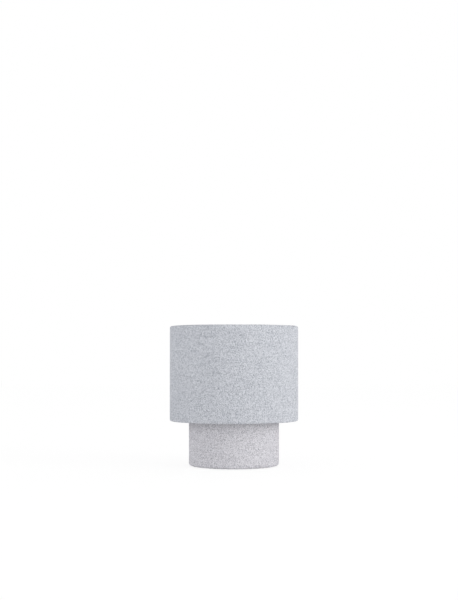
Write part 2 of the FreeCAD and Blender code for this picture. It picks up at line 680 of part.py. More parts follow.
def make_base_fabric():
    """Cloth round the base drum, folded over the rim and under the foot."""
    body = new_body("base_fabric")
    rim = f"housing_wall * {rim_round_share}"
    rim_outer = f"({rim} + fabric_thickness)"
    inside_rim = "(base_height - fabric_thickness)"
    under = "(foot_thickness - fabric_thickness)"
    edge = f"({BASE_RADIUS} - foot_fold)"
    flap_end = "(base_height - rim_fold)"
    section = [
        (edge, under),
        (BASE_RADIUS, under, "housing_corner + fabric_thickness"),
        (BASE_RADIUS, "base_height", rim_outer),
        (FOLD_INNER, "base_height", rim_outer),
        (FOLD_INNER, flap_end),
        (HOUSING_INNER, flap_end),
        (HOUSING_INNER, inside_rim, rim),
        (HOUSING_RADIUS, inside_rim, rim),
        (HOUSING_RADIUS, "foot_thickness", "housing_corner"),
        (edge, "foot_thickness"),
    ]
    turned(body, "Wrap", section)


def make_deck_plate():
    """Pressed deck that steps up to its middle, where the well hangs."""
    body = new_body("deck_plate")
    opening = f"({WELL_OUTER} + deck_opening_gap)"
    inside_step = f"({STEP_RADIUS} - deck_thickness)"
    edge_foot = f"({DECK_EDGE} - deck_thickness)"
    section = [
        (opening, TOWER_TOP),
        (inside_step, TOWER_TOP),
        (inside_step, edge_foot, "deck_round"),
        (DECK_RADIUS, edge_foot),
        (DECK_RADIUS, DECK_EDGE),
        (STEP_RADIUS, DECK_EDGE),
        (STEP_RADIUS, DECK_TOP, "deck_round"),
        (opening, DECK_TOP),
    ]
    turned(body, "Pressing", section)
    radius = "(screw_radius + screw_hole_play)"
    hole = round_hole(body, "Hole", "0", TOWER_CIRCLE, radius, DECK_TOP, TOWER_TOP)
    around(body, "Holes", [hole], "tower_count")


def make_candle_well():
    """Spun cup that the candle stands in, hung from the deck by its flange."""
    body = new_body("candle_well")
    section = [
        ("0", WELL_BOTTOM),
        (WELL_OUTER, WELL_BOTTOM, "well_corner + well_wall"),
        (WELL_OUTER, DECK_TOP, "well_lip - well_wall"),
        (FLANGE_RADIUS, DECK_TOP),
        (FLANGE_RADIUS, WELL_TOP),
        (WELL_INNER, WELL_TOP, "well_lip"),
        (WELL_INNER, WELL_FLOOR, "well_corner"),
        ("0", WELL_FLOOR),
    ]
    turned(body, "Cup", section)
    radius = "(screw_radius + screw_hole_play)"
    hole = round_hole(body, "Hole", "0", TOWER_CIRCLE, radius, WELL_TOP, DECK_TOP)
    around(body, "Holes", [hole], "tower_count")


def make_well_pad():
    """Soft disc under the candle."""
    body = new_body("well_pad")
    radius = f"({WELL_INNER} - well_corner - pad_margin)"
    turned(body, "Disc", [("0", WELL_FLOOR), (radius, WELL_FLOOR), (radius, CANDLE_FOOT), ("0", CANDLE_FOOT)])


def make_seat_gasket():
    """Soft ring on the deck, under the shade's seat ring."""
    body = new_body("seat_gasket")
    inner = f"({SEAT_INNER} + gasket_margin)"
    turned(body, "Ring", ring_outline(inner, SEAT_OUTER, DECK_EDGE, "base_height"))


def make_shade_liner():
    """Stiff sheet rolled into the drum that holds the shade's cloth."""
    body = new_body("shade_liner")
    bottom = f"({LOWER_RING} + liner_thickness / 2)"
    top = f"({UPPER_RING} - liner_thickness / 2)"
    turned(body, "Drum", ring_outline(LINER_INNER, LINER_OUTER, bottom, top))


def hem_levels(ring, way):
    """Return the heights at which a hem starts to slant, reaches the liner and ends."""
    start = f"({ring} {way} hem_wrap)"
    reach = f"({start} {way} hem_rise)"
    return start, reach, f"({reach} {way} hem_tail)"


def make_shade_fabric():
    """Cloth round the shade, rolled round both rings and glued back to the liner.

    Where a hem turns by half an angle, its inner face is higher than its outer face by its
    thickness times the tangent of that half angle.
    """
    body = new_body("shade_fabric")
    hem = f"({RING_RADIUS} - ring_wire_radius)"
    hem_face = f"({hem} - fabric_thickness)"
    tail_face = f"({LINER_INNER} - fabric_thickness)"
    shift = "(fabric_thickness * tan(atan(2 * ring_wire_radius / hem_rise) / 2))"
    corner = "(ring_wire_radius + liner_thickness / 2)"
    low_start, low_reach, low_end = hem_levels(LOWER_RING, "+")
    high_start, high_reach, high_end = hem_levels(UPPER_RING, "-")
    low = f"({SHADE_FOOT} + fabric_thickness)"
    high = f"({SHADE_TOP} - fabric_thickness)"
    section = [
        (hem_face, SHADE_FOOT, "ring_wire_radius + fabric_thickness"),
        (SHADE_RADIUS, SHADE_FOOT, f"{corner} + fabric_thickness"),
        (SHADE_RADIUS, SHADE_TOP, f"{corner} + fabric_thickness"),
        (hem_face, SHADE_TOP, "ring_wire_radius + fabric_thickness"),
        (hem_face, f"{high_start} - {shift}"),
        (tail_face, f"{high_reach} - {shift}"),
        (tail_face, high_end),
        (LINER_INNER, high_end),
        (LINER_INNER, high_reach),
        (hem, high_start),
        (hem, high, "ring_wire_radius"),
        (LINER_OUTER, high, corner),
        (LINER_OUTER, low, corner),
        (hem, low, "ring_wire_radius"),
        (hem, low_start),
        (LINER_INNER, low_reach),
        (LINER_INNER, low_end),
        (tail_face, low_end),
        (tail_face, f"{low_reach} + {shift}"),
        (hem_face, f"{low_start} + {shift}"),
    ]
    turned(body, "Wrap", section)
    slope = f"(({ARM_LEVEL} - {LOWER_RING}) / ({RING_RADIUS} - {BASE_RADIUS} - arm_bend_margin))"
    arm_side = f"arm_wire_radius * sqrt(1 + {slope} * {slope})"
    slit_foot = f"({LOWER_RING} + ring_wire_radius * {slope} - {arm_side} - arm_notch_gap)"
    slit_top = f"({low_end} + arm_notch_gap)"
    sketch = upright_sketch(body, "Slit_rectangle")
    middle = f"(({slit_foot} + {slit_top}) / 2)"
    block(sketch, "0", middle, "(2 * arm_wire_radius + 2 * arm_notch_gap)", f"({slit_top} - {slit_foot})")
    slit = sunk(body, "Slit", sketch, LINER_INNER)
    around(body, "Slits", [slit], "arm_count")


def ring_section(body, name, level):
    """Draw the round section of a shade ring's wire, with its play inside the hem."""
    sketch = upright_sketch(body, name)
    circle(sketch, RING_RADIUS, level, "ring_wire_radius - hem_ease")
    return sketch


def wire_ring(body, name, sketch):
    """Turn a wire's section into a ring."""
    feature = body.newObject("PartDesign::Revolution", name)
    feature.Profile = sketch
    feature.ReferenceAxis = (sketch, ["V_Axis"])
    feature.Angle = 360
    return feature


def make_shade_top_ring():
    """Wire ring in the shade's upper hem."""
    body = new_body("shade_top_ring")
    wire_ring(body, "Ring", ring_section(body, "Wire", UPPER_RING))


def make_shade_frame():
    """Wire ring in the shade's lower hem, with three bent arms welded to a flat seat ring."""
    body = new_body("shade_frame")
    wire_ring(body, "Ring", ring_section(body, "RingWire", LOWER_RING))
    seat = upright_sketch(body, "SeatSection")
    outline(seat, ring_outline(SEAT_INNER, SEAT_OUTER, "base_height", SEAT_TOP))
    wire_ring(body, "Seat", seat)
    path = side_sketch(body, "ArmPath")
    start = f"({SEAT_INNER} + seat_width / 2)"
    bend = f"({BASE_RADIUS} + arm_bend_margin)"
    route = [(start, ARM_LEVEL), (bend, ARM_LEVEL, "arm_bend_radius"), (RING_RADIUS, LOWER_RING)]
    outline(path, route, closed=False)
    wire = upright_sketch(body, "ArmWire", y=start)
    circle(wire, "0", ARM_LEVEL, "arm_wire_radius")
    arm = body.newObject("PartDesign::AdditivePipe", "Arm")
    arm.Profile = wire
    arm.Spine = (path, [])
    around(body, "Arms", [arm], "arm_count")


def make_candle_shell():
    """Wax candle with a melted bowl in its top and dips in its rim."""
    body = candle_body("candle_shell")
    rim = f"({CANDLE_RADIUS} - wax_rim_width)"
    bowl = f"({rim} - wax_bowl_slope)"
    hole = f"({CHIMNEY_OUTER} + chimney_wax_gap)"
    under = f"({POOL} - wax_floor)"
    section = [
        (WAX_INNER, "0"),
        (CANDLE_RADIUS, "0", "wax_foot_round"),
        (CANDLE_RADIUS, WAX_TOP, "wax_rim_round"),
        (rim, WAX_TOP, "wax_rim_round"),
        (bowl, POOL, "wax_bowl_round"),
        (hole, POOL),
        (hole, under),
        (WAX_INNER, under),
    ]
    turned(body, "Wax", section)
    sketch = upright_sketch(body, "Dip_circle")
    circle(sketch, "0", f"{WAX_TOP} + dip_radius - dip_depth", "dip_radius")
    sketch.AttachmentOffset = FreeCAD.Placement(
        FreeCAD.Vector(), FreeCAD.Rotation(FreeCAD.Vector(0, 1, 0), value("dip_angle"))
    )
    sketch.setExpression(".AttachmentOffset.Rotation.Angle", bound("dip_angle"))
    dip = sunk(body, "Dip", sketch, f"{CANDLE_RADIUS} + wax_wall")
    around(body, "Dips", [dip], "dip_count")


def make_candle_core():
    """Moulded barrel inside the wax, with a ledge for the tubes and bosses for the cap."""
    body = candle_body("candle_core")
    ledge = f"({CORE_INNER} - ledge_width)"
    ledge_foot = f"({FLANGE_FOOT} - ledge_thickness)"
    section = [
        (CORE_INNER, "core_foot"),
        (CORE_OUTER, "core_foot"),
        (CORE_OUTER, CORE_TOP),
        (CORE_INNER, CORE_TOP),
        (CORE_INNER, FLANGE_FOOT),
        (ledge, FLANGE_FOOT),
        (ledge, ledge_foot),
        (CORE_INNER, f"{ledge_foot} - ledge_width"),
    ]
    turned(body, "Barrel", section)
    boss_top = f"({CAP_TOP} + boss_height)"
    boss = round_post(body, "Boss", BOSS_CIRCLE, "0", "boss_radius", CAP_TOP, boss_top, "boss_angle")
    tip = "(cap_recess + cap_screw_sink + cap_screw_length + screw_tip_gap)"
    radius = "(cap_screw_radius + screw_thread_play)"
    hole = round_hole(body, "BossHole", BOSS_CIRCLE, "0", radius, tip, CAP_TOP, "boss_angle")
    around(body, "Bosses", [boss, hole], "cap_screw_count")


def make_bottom_cap():
    """Cap under the barrel, with the battery opening, two notches, the slot and sunk screw holes."""
    body = candle_body("bottom_cap")
    turned(body, "Ring", ring_outline(OPENING_RADIUS, FLANGE_FIT, "cap_recess", CAP_TOP))
    notch_end = f"({LUG_REACH} + notch_margin)"
    notch_start = f"({OPENING_RADIUS} - lug_root)"
    notch_middle = f"(({notch_start} + {notch_end}) / 2)"
    notch_length = f"({notch_end} - {notch_start})"
    notch_width = "(lug_width + 2 * notch_margin)"
    notch = square_hole(
        body, "Notch", notch_middle, "0", notch_length, notch_width, CAP_TOP, "cap_recess", "door_angle"
    )
    around(body, "Notches", [notch], "lug_count")
    slot_length = "(knob_length + switch_travel + 2 * knob_slot_play)"
    slot_width = "(knob_width + 2 * knob_slot_play)"
    square_hole(
        body, "KnobSlot", "0", minus(SWITCH_MIDDLE), slot_length, slot_width, CAP_TOP, "cap_recess"
    )
    head = "(cap_screw_head_radius + cap_screw_play)"
    shank = "(cap_screw_radius + cap_screw_play)"
    sink_top = "(cap_recess + cap_screw_sink)"
    sinking = round_hole(body, "Sinking", BOSS_CIRCLE, "0", head, sink_top, "cap_recess", "boss_angle")
    hole = round_hole(body, "Hole", BOSS_CIRCLE, "0", shank, CAP_TOP, "cap_recess", "boss_angle")
    around(body, "ScrewHoles", [sinking, hole], "cap_screw_count")


def make_cap_screws():
    """Two small screws that hold the cap, head down in their sinkings."""
    body = candle_body("cap_screws")
    seat = "(cap_recess + cap_screw_sink)"
    head = f"({seat} - cap_screw_head_height)"
    tip = f"({seat} + cap_screw_length)"
    big = flat_sketch(body, "Head_circle", head, "boss_angle")
    circle(big, BOSS_CIRCLE, "0", "cap_screw_head_radius")
    top = raised(body, "Head", big, "cap_screw_head_height")
    shank = round_post(body, "Shank", BOSS_CIRCLE, "0", "cap_screw_radius", seat, tip, "boss_angle")
    around(body, "Screws", [top, shank], "cap_screw_count")


def make_battery_door():
    """Round door with two lugs, opened with a coin."""
    body = candle_body("battery_door")
    disc = [
        ("0", "cap_recess"),
        (DOOR_RADIUS, "cap_recess", "door_round"),
        (DOOR_RADIUS, CAP_TOP),
        (HUB_RADIUS, CAP_TOP),
        (HUB_RADIUS, LUG_TOP),
        ("0", LUG_TOP),
    ]
    turned(body, "Disc", disc)
    start = f"({HUB_RADIUS} - lug_root)"
    middle = f"(({start} + {LUG_REACH}) / 2)"
    length = f"({LUG_REACH} - {start})"
    lug = square_post(body, "Lug", middle, "0", length, "lug_width", LUG_FOOT, LUG_TOP)
    around(body, "Lugs", [lug], "lug_count")
    slot_top = "(cap_recess + coin_slot_depth)"
    square_hole(
        body, "CoinSlot", "0", "0", "coin_slot_length", "coin_slot_width", slot_top, "cap_recess"
    )


def make_door_contact():
    """Sheet on the door that joins the two cells."""
    body = candle_body("door_contact")
    radius = f"({HUB_RADIUS} - contact_margin)"
    top = f"({LUG_TOP} + contact_thickness)"
    turned(body, "Sheet", [("0", LUG_TOP), (radius, LUG_TOP), (radius, top), ("0", top)])


def make_battery_holder():
    """Two tubes side by side under a flange that shuts their tops."""
    body = candle_body("battery_holder")
    disc = [("0", FLANGE_FOOT), (FLANGE_FIT, FLANGE_FOOT), (FLANGE_FIT, FLANGE_TOP), ("0", FLANGE_TOP)]
    turned(body, "Flange", disc)
    spots = (("Right", CELL_OFFSET), ("Left", minus(CELL_OFFSET)))
    for side, x in spots:
        round_post(body, f"{side}Tube", x, "0", TUBE_RADIUS, TUBE_FOOT, FLANGE_FOOT)
    plug = f"({CELL_TOP} + contact_gap + contact_thickness)"
    for (side, x), top in zip(spots, (plug, FLANGE_FOOT)):
        round_hole(body, f"{side}Bore", x, "0", BORE_RADIUS, top, TUBE_FOOT)
    notch_start = f"({SWITCH_INNER} + lead_setback - lead_radius - lead_notch_play)"
    notch_end = f"({FLANGE_FIT} + flange_clearance)"
    middle = f"(-({notch_start} + {notch_end}) / 2)"
    width = "(lead_spacing + 2 * lead_radius + 2 * lead_notch_play)"
    square_hole(
        body, "LeadNotch", "0", middle, width, f"({notch_end} - {notch_start})", FLANGE_TOP, FLANGE_FOOT
    )


def cell_shape(foot, end, way):
    """Return half the section of a cell from its flat end at foot to its nub at end."""
    shoulder = f"({end} {way} cell_nub_height)"
    shape = [
        ("0", foot),
        ("cell_radius", foot, "cell_edge"),
        ("cell_radius", shoulder, "cell_edge"),
        ("cell_nub_radius", shoulder),
        ("cell_nub_radius", end),
        ("0", end),
    ]
    return shape


def make_battery_cells():
    """Two round cells, the left one upside down."""
    body = candle_body("battery_cells")
    turned(body, "UprightCell", cell_shape(CELL_FOOT, CELL_TOP, "-"), x=CELL_OFFSET)
    turned(body, "TurnedCell", cell_shape(CELL_TOP, CELL_FOOT, "+"), x=minus(CELL_OFFSET))


def make_contact_spring():
    """Coil spring between the left cell and the flange."""
    body = candle_body("contact_spring")
    sketch = upright_sketch(body, "Wire", x=minus(CELL_OFFSET))
    circle(sketch, "spring_radius", f"{CELL_TOP} + spring_wire_radius", "spring_wire_radius")
    coil = body.newObject("PartDesign::AdditiveHelix", "Coil")
    coil.Profile = sketch
    coil.ReferenceAxis = (sketch, ["V_Axis"])
    coil.Mode = "pitch-height-angle"
    coil.setExpression("Pitch", bound("spring_pitch"))
    coil.setExpression("Height", bound("spring_height - 2 * spring_wire_radius"))


def make_contact_plate():
    """Round contact over the right cell."""
    body = candle_body("contact_plate")
    bottom = f"({CELL_TOP} + contact_gap)"
    top = f"({bottom} + contact_thickness)"
    disc = [("0", bottom), ("contact_radius", bottom), ("contact_radius", top), ("0", top)]
    turned(body, "Sheet", disc, x=CELL_OFFSET)


def make_switch_body():
    """Slide switch on the cap."""
    body = candle_body("switch_body")
    top = f"({SWITCH_FOOT} + switch_height)"
    square_post(
        body, "Case", "0", minus(SWITCH_MIDDLE), "switch_length", "switch_depth", SWITCH_FOOT, top
    )


def make_switch_knob():
    """Knob of the switch, at the off end of its slot."""
    body = candle_body("switch_knob")
    top = f"({SWITCH_FOOT} - knob_gap)"
    square_post(
        body, "Knob", "(-switch_travel / 2)", minus(SWITCH_MIDDLE), "knob_length", "knob_width",
        "knob_foot", top
    )


def make_switch_leads():
    """Two wires from the switch up to the board."""
    body = candle_body("switch_leads")
    foot = f"({SWITCH_FOOT} + switch_height)"
    y = minus(f"{SWITCH_INNER} + lead_setback")
    for side, x in (("Right", "(lead_spacing / 2)"), ("Left", "(-lead_spacing / 2)")):
        round_post(body, f"{side}Lead", x, y, "lead_radius", foot, FLANGE_TOP)


def make_control_board():
    """Round circuit board on the flange."""
    body = candle_body("control_board")
    radius = f"({CORE_INNER} - board_gap)"
    turned(body, "Board", [("0", FLANGE_TOP), (radius, FLANGE_TOP), (radius, BOARD_TOP), ("0", BOARD_TOP)])


def make_board_parts():
    """Chip, two resistors and a capacitor on the board."""
    body = candle_body("board_parts")
    chip_top = f"({BOARD_TOP} + chip_height)"
    square_post(body, "Chip", "part_setback", "0", "chip_length", "chip_width", BOARD_TOP, chip_top)
    resistor_top = f"({BOARD_TOP} + resistor_height)"
    for number, (x_share, y_share) in enumerate(resistor_place_shares, start=1):
        x, y = f"(part_setback * {x_share})", f"(part_spacing * {y_share})"
        square_post(
            body, f"Resistor{number}", x, y, "resistor_length", "resistor_width", BOARD_TOP, resistor_top
        )
    capacitor_top = f"({BOARD_TOP} + capacitor_height)"
    round_post(
        body, "Capacitor", "0", "part_setback", "capacitor_radius", BOARD_TOP, capacitor_top
    )


def make_coil_bobbin():
    """Bobbin on the board."""
    body = candle_body("coil_bobbin")
    low = f"({BOARD_TOP} + bobbin_flange)"
    high = f"({BOBBIN_TOP} - bobbin_flange)"
    section = [
        ("bobbin_bore", BOARD_TOP),
        ("bobbin_radius", BOARD_TOP),
        ("bobbin_radius", low),
        ("bobbin_core_radius", low),
        ("bobbin_core_radius", high),
        ("bobbin_radius", high),
        ("bobbin_radius", BOBBIN_TOP),
        ("bobbin_bore", BOBBIN_TOP),
    ]
    turned(body, "Bobbin", section)


def make_drive_coil():
    """Winding that pushes the magnet to and fro."""
    body = candle_body("drive_coil")
    low = f"({BOARD_TOP} + bobbin_flange)"
    high = f"({BOBBIN_TOP} - bobbin_flange)"
    outer = "(bobbin_radius - coil_margin)"
    turned(body, "Winding", ring_outline("bobbin_core_radius", outer, low, high))


def make_flame_chimney():
    """Tube from the board up to a collar on the wax, with a shelf for the light."""
    body = candle_body("flame_chimney")
    collar_top = f"({POOL} + collar_thickness)"
    collar = f"({CHIMNEY_OUTER} + collar_width)"
    section = [
        ("chimney_radius", BOARD_TOP),
        (CHIMNEY_OUTER, BOARD_TOP),
        (CHIMNEY_OUTER, POOL),
        (collar, POOL),
        (collar, collar_top, "collar_round"),
        ("chimney_radius", collar_top, "collar_round"),
    ]
    turned(body, "Tube", section)
    shelf_end = "(chimney_radius + shelf_bite)"
    middle = f"((shelf_gap + {shelf_end}) / 2)"
    shelf_foot = f"({SHELF_TOP} - shelf_thickness)"
    square_post(
        body, "Shelf", "0", middle, "shelf_width", f"({shelf_end} - shelf_gap)", shelf_foot, SHELF_TOP
    )
    radius = "(led_lead_radius + led_lead_play)"
    for side, x in (("Right", "(led_lead_spacing / 2)"), ("Left", "(-led_lead_spacing / 2)")):
        round_hole(body, f"{side}LeadHole", x, "led_setback", radius, SHELF_TOP, shelf_foot)
    sketch = upright_sketch(body, "PivotHole_circle", y=minus(CHIMNEY_OUTER))
    circle(sketch, "0", PIVOT, "pivot_wire_radius + pivot_hold")
    sunk(body, "PivotHole", sketch, f"2 * {CHIMNEY_OUTER}")


def make_pivot_wire():
    """Fine wire across the tube that the flame hangs on."""
    body = candle_body("pivot_wire")
    reach = f"({CHIMNEY_OUTER} - pivot_wire_end)"
    sketch = upright_sketch(body, "Wire_circle", y=reach)
    circle(sketch, "0", PIVOT, "pivot_wire_radius")
    raised(body, "Wire", sketch, f"2 * {reach}")


def make_flame_led():
    """Round light on the shelf, behind the flame's foot."""
    body = candle_body("flame_led")
    top = f"({SHELF_TOP} + led_height)"
    rim_top = f"({SHELF_TOP} + led_rim_height)"
    shape = [
        ("0", SHELF_TOP),
        ("led_rim_radius", SHELF_TOP),
        ("led_rim_radius", rim_top),
        ("led_radius", rim_top),
        ("led_radius", top, "led_dome"),
        ("0", top),
    ]
    turned(body, "Light", shape, y="led_setback")


def make_led_leads():
    """Two bare wires from the light down to the board."""
    body = candle_body("led_leads")
    for side, x in (("Right", "(led_lead_spacing / 2)"), ("Left", "(-led_lead_spacing / 2)")):
        round_post(body, f"{side}Wire", x, "led_setback", "led_lead_radius", BOARD_TOP, SHELF_TOP)


def make_flame():
    """Thin flame on a stem, with an eye for the pivot wire."""
    body = candle_body("flame")
    blade_foot = f"({PIVOT} + stem_rise)"
    stem = upright_sketch(body, "Stem_rectangle", y="(stem_thickness / 2)")
    stem_middle = f"(({MAGNET_TOP} + {blade_foot}) / 2)"
    block(stem, "0", stem_middle, "stem_width", f"({blade_foot} - {MAGNET_TOP})")
    raised(body, "Stem", stem, "stem_thickness")
    eye = upright_sketch(body, "Eye_circle", y="flame_half_thickness")
    circle(eye, "0", PIVOT, "pivot_eye_radius")
    raised(body, "Eye", eye, "2 * flame_half_thickness")
    sections = []
    for number, (height, width, thickness, lean) in enumerate(flame_section_shares, start=1):
        level = f"{blade_foot} + flame_height * {height}"
        sketch = flat_sketch(body, f"Section{number}", level)
        x = "0" if lean == 0 else f"(flame_half_width * {lean})"
        ellipse(sketch, x, f"(flame_half_width * {width})", f"(flame_half_thickness * {thickness})")
        sections.append(sketch)
    blade = body.newObject("PartDesign::AdditiveLoft", "Blade")
    blade.Profile = sections[0]
    blade.Sections = sections[1:]
    hole = upright_sketch(body, "Pivot_circle", y=minus("flame_half_thickness"))
    circle(hole, "0", PIVOT, "pivot_wire_radius + pivot_play")
    sunk(body, "Pivot", hole, "2 * flame_half_thickness")


def make_flame_magnet():
    """Round magnet glued under the flame's stem."""
    body = candle_body("flame_magnet")
    shape = [
        ("0", MAGNET_FOOT),
        ("magnet_radius", MAGNET_FOOT),
        ("magnet_radius", MAGNET_TOP),
        ("0", MAGNET_TOP),
    ]
    turned(body, "Magnet", shape)


def make_lamp():
    """Make every piece of the lamp."""
    make_foot_pad()
    make_base_housing()
    make_ballast_disc()
    screws("ballast_screws", minus(POST_CIRCLE), BALLAST_TOP, "ballast_screw_length", "tower_count")
    make_base_fabric()
    make_deck_plate()
    make_candle_well()
    screws("deck_screws", TOWER_CIRCLE, WELL_TOP, "deck_screw_length", "tower_count")
    make_well_pad()
    make_seat_gasket()
    make_shade_liner()
    make_shade_fabric()
    make_shade_top_ring()
    make_shade_frame()
    make_candle_shell()
    make_candle_core()
    make_bottom_cap()
    make_cap_screws()
    make_battery_door()
    make_door_contact()
    make_battery_holder()
    make_battery_cells()
    make_contact_spring()
    make_contact_plate()
    make_switch_body()
    make_switch_knob()
    make_switch_leads()
    make_control_board()
    make_board_parts()
    make_coil_bobbin()
    make_drive_coil()
    make_flame_chimney()
    make_pivot_wire()
    make_flame_led()
    make_led_leads()
    make_flame()
    make_flame_magnet()


def check_document():
    """Stop if any object failed to compute or any piece has no sound shape."""
    failed = [item.Name for item in doc.Objects if {"Invalid", "Error"} & set(item.State)]
    if failed:
        raise RuntimeError(f"these objects failed: {', '.join(failed)}")
    for body in parts:
        if body.Shape.isNull() or not body.Shape.isValid():
            raise RuntimeError(f"{body.Label} has no sound shape")


def write_parts():
    """Write each piece to a file of its own."""
    os.makedirs("parts", exist_ok=True)
    for body in parts:
        body.Shape.exportStep(f"parts/{body.Label}.step")
        print(f"{body.Label}: {len(body.Shape.Solids)} solid, {body.Shape.Volume:.0f} cubic millimetres")


fill_sheet()
make_lamp()
doc.recompute()
check_document()
write_parts()
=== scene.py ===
"""Dress the cordless candle lamp: two cloth drums, a wire frame, a spun well and a wax candle.

Lengths are in metres. The Z axis is the axis of both drums, the table is at height 0, and the back of the
lamp is towards +Y. Angles round the Z axis are in degrees from +X towards +Y.
"""

import functools
import logging
import math
from dataclasses import dataclass, field
from enum import Enum
from typing import Sequence

import bmesh
import bpy
import numpy as np
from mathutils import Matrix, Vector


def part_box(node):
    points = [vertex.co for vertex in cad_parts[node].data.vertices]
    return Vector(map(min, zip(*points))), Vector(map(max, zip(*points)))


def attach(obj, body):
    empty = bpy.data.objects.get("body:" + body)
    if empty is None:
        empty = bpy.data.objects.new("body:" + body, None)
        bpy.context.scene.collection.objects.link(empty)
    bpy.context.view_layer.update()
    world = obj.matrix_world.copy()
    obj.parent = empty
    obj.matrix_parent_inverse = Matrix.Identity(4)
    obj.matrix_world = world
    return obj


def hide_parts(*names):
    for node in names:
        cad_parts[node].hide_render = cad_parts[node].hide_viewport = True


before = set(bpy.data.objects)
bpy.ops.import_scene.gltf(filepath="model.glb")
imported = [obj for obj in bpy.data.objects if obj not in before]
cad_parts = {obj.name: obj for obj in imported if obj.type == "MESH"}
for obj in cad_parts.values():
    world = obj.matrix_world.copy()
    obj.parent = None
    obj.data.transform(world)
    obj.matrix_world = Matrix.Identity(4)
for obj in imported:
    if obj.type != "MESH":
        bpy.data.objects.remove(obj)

LOG = logging.getLogger("candle_lamp")
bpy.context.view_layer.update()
CLOTH_MAP = "cloth"
FULL_TURN = 2 * math.pi
MM_PER_METRE = 1000

# Lengths in metres that count as none
SAME_PLACE = 1e-6
SAME_POINT = 1e-7
NO_LENGTH = 1e-8

# Share of a run that a bend may take up, and of a step that a rod's last point stands past its end
BEND_ROOM = 0.499
END_STEP = 1e-4

# Corners of a face, rows of a weld for each of its waves, and sides of a weld
QUAD_CORNERS = 4
WELD_ROWS = 4
WELD_SIDES = 16

# Range that nearly all of a noise lies in
NOISE_RANGE = (0.3, 0.7)

# Sockets of a Mix node that mixes colours
MIX_INPUTS = (0, 6, 7)
MIX_OUTPUT = 2

# The curve of a screen's levels, which is straight near black
WHITE_LEVEL = 255
STRAIGHT_END = 0.04045
STRAIGHT_SLOPE = 12.92
CURVE_SHIFT = 0.055
CURVE_POWER = 2.4

Colour = tuple[float, float, float]
Wave = tuple[int, float, float]
Value = bpy.types.NodeSocket | float | Sequence[float]
Numbers = np.ndarray | float


class Body(Enum):
    """Rigid groups of the lamp that the pieces made here ride on."""

    BASE = "base"
    SHADE = "shade"
    CANDLE = "candle"
    FLAME = "flame"


class Crease(Enum):
    """Angle in degrees past which an edge stays sharp."""

    CRISP = 30.0
    PLAIN = 40.0
    SOFT = 50.0
    WOVEN = 60.0


class Grain(Enum):
    """How deep the grain of a moulded or painted surface is, as a share of its size."""

    POLISHED = 0.02
    SATIN = 0.045
    SPARKED = 0.07


class Kind(Enum):
    """What a socket of a node group carries."""

    NUMBER = "NodeSocketFloat"
    COLOUR = "NodeSocketColor"
    PLACE = "NodeSocketVector"


def srgb(red: float, green: float, blue: float) -> Colour:
    """Turn a colour as seen, in 0 to 255, into the linear colour that a shader takes.

    Args:
        red: Red, from 0 to 255.
        green: Green, from 0 to 255.
        blue: Blue, from 0 to 255.

    Returns:
        The linear colour, each part from 0 to 1.
    """
    parts = np.array([red, green, blue]) / WHITE_LEVEL
    curve = ((parts + CURVE_SHIFT) / (1 + CURVE_SHIFT)) ** CURVE_POWER
    linear = np.where(parts <= STRAIGHT_END, parts / STRAIGHT_SLOPE, curve)
    return tuple(float(part) for part in linear)


# Surfaces


@dataclass
class Shell:
    """A grid of points, a place on the cloth for each point, and which cells of the grid are kept."""

    points: np.ndarray
    places: np.ndarray | None = None
    kept: np.ndarray | None = None


def polygon_mesh(name: str, shells: Sequence[Shell]) -> bpy.types.Mesh:
    """Make one mesh of quads from grids of points.

    Four neighbours in a grid make one face. Points that no kept face uses are left out.

    Args:
        name: Name of the mesh.
        shells: The grids.

    Returns:
        The mesh, with its places on the cloth as a UV map where a grid has them.
    """
    points, quads, places, start = [], [], [], 0
    for shell in shells:
        rows, columns = shell.points.shape[:2]
        index = np.arange(rows * columns).reshape(rows, columns)
        corners = np.stack([index[:-1, :-1], index[:-1, 1:], index[1:, 1:], index[1:, :-1]], axis=-1)
        kept = np.ones((rows - 1, columns - 1), bool) if shell.kept is None else shell.kept
        quads.append(corners[kept] + start)
        points.append(shell.points.reshape(-1, 3))
        places.append(np.zeros((rows * columns, 2)) if shell.places is None else shell.places.reshape(-1, 2))
        start += rows * columns
    points, quads, places = np.concatenate(points), np.concatenate(quads), np.concatenate(places)
    used, loops = np.unique(quads, return_inverse=True)
    loops = loops.reshape(-1)
    mesh = bpy.data.meshes.new(name)
    mesh.vertices.add(len(used))
    mesh.vertices.foreach_set("co", points[used].astype(np.float32).reshape(-1))
    mesh.loops.add(len(loops))
    mesh.loops.foreach_set("vertex_index", loops.astype(np.int32))
    mesh.polygons.add(len(quads))
    mesh.polygons.foreach_set("loop_start", np.arange(0, len(loops), QUAD_CORNERS, dtype=np.int32))
    mesh.update(calc_edges=True)
    if any(shell.places is not None for shell in shells):
        layer = mesh.uv_layers.new(name=CLOTH_MAP)
        layer.data.foreach_set("uv", places[used][loops].astype(np.float32).reshape(-1))
    return mesh


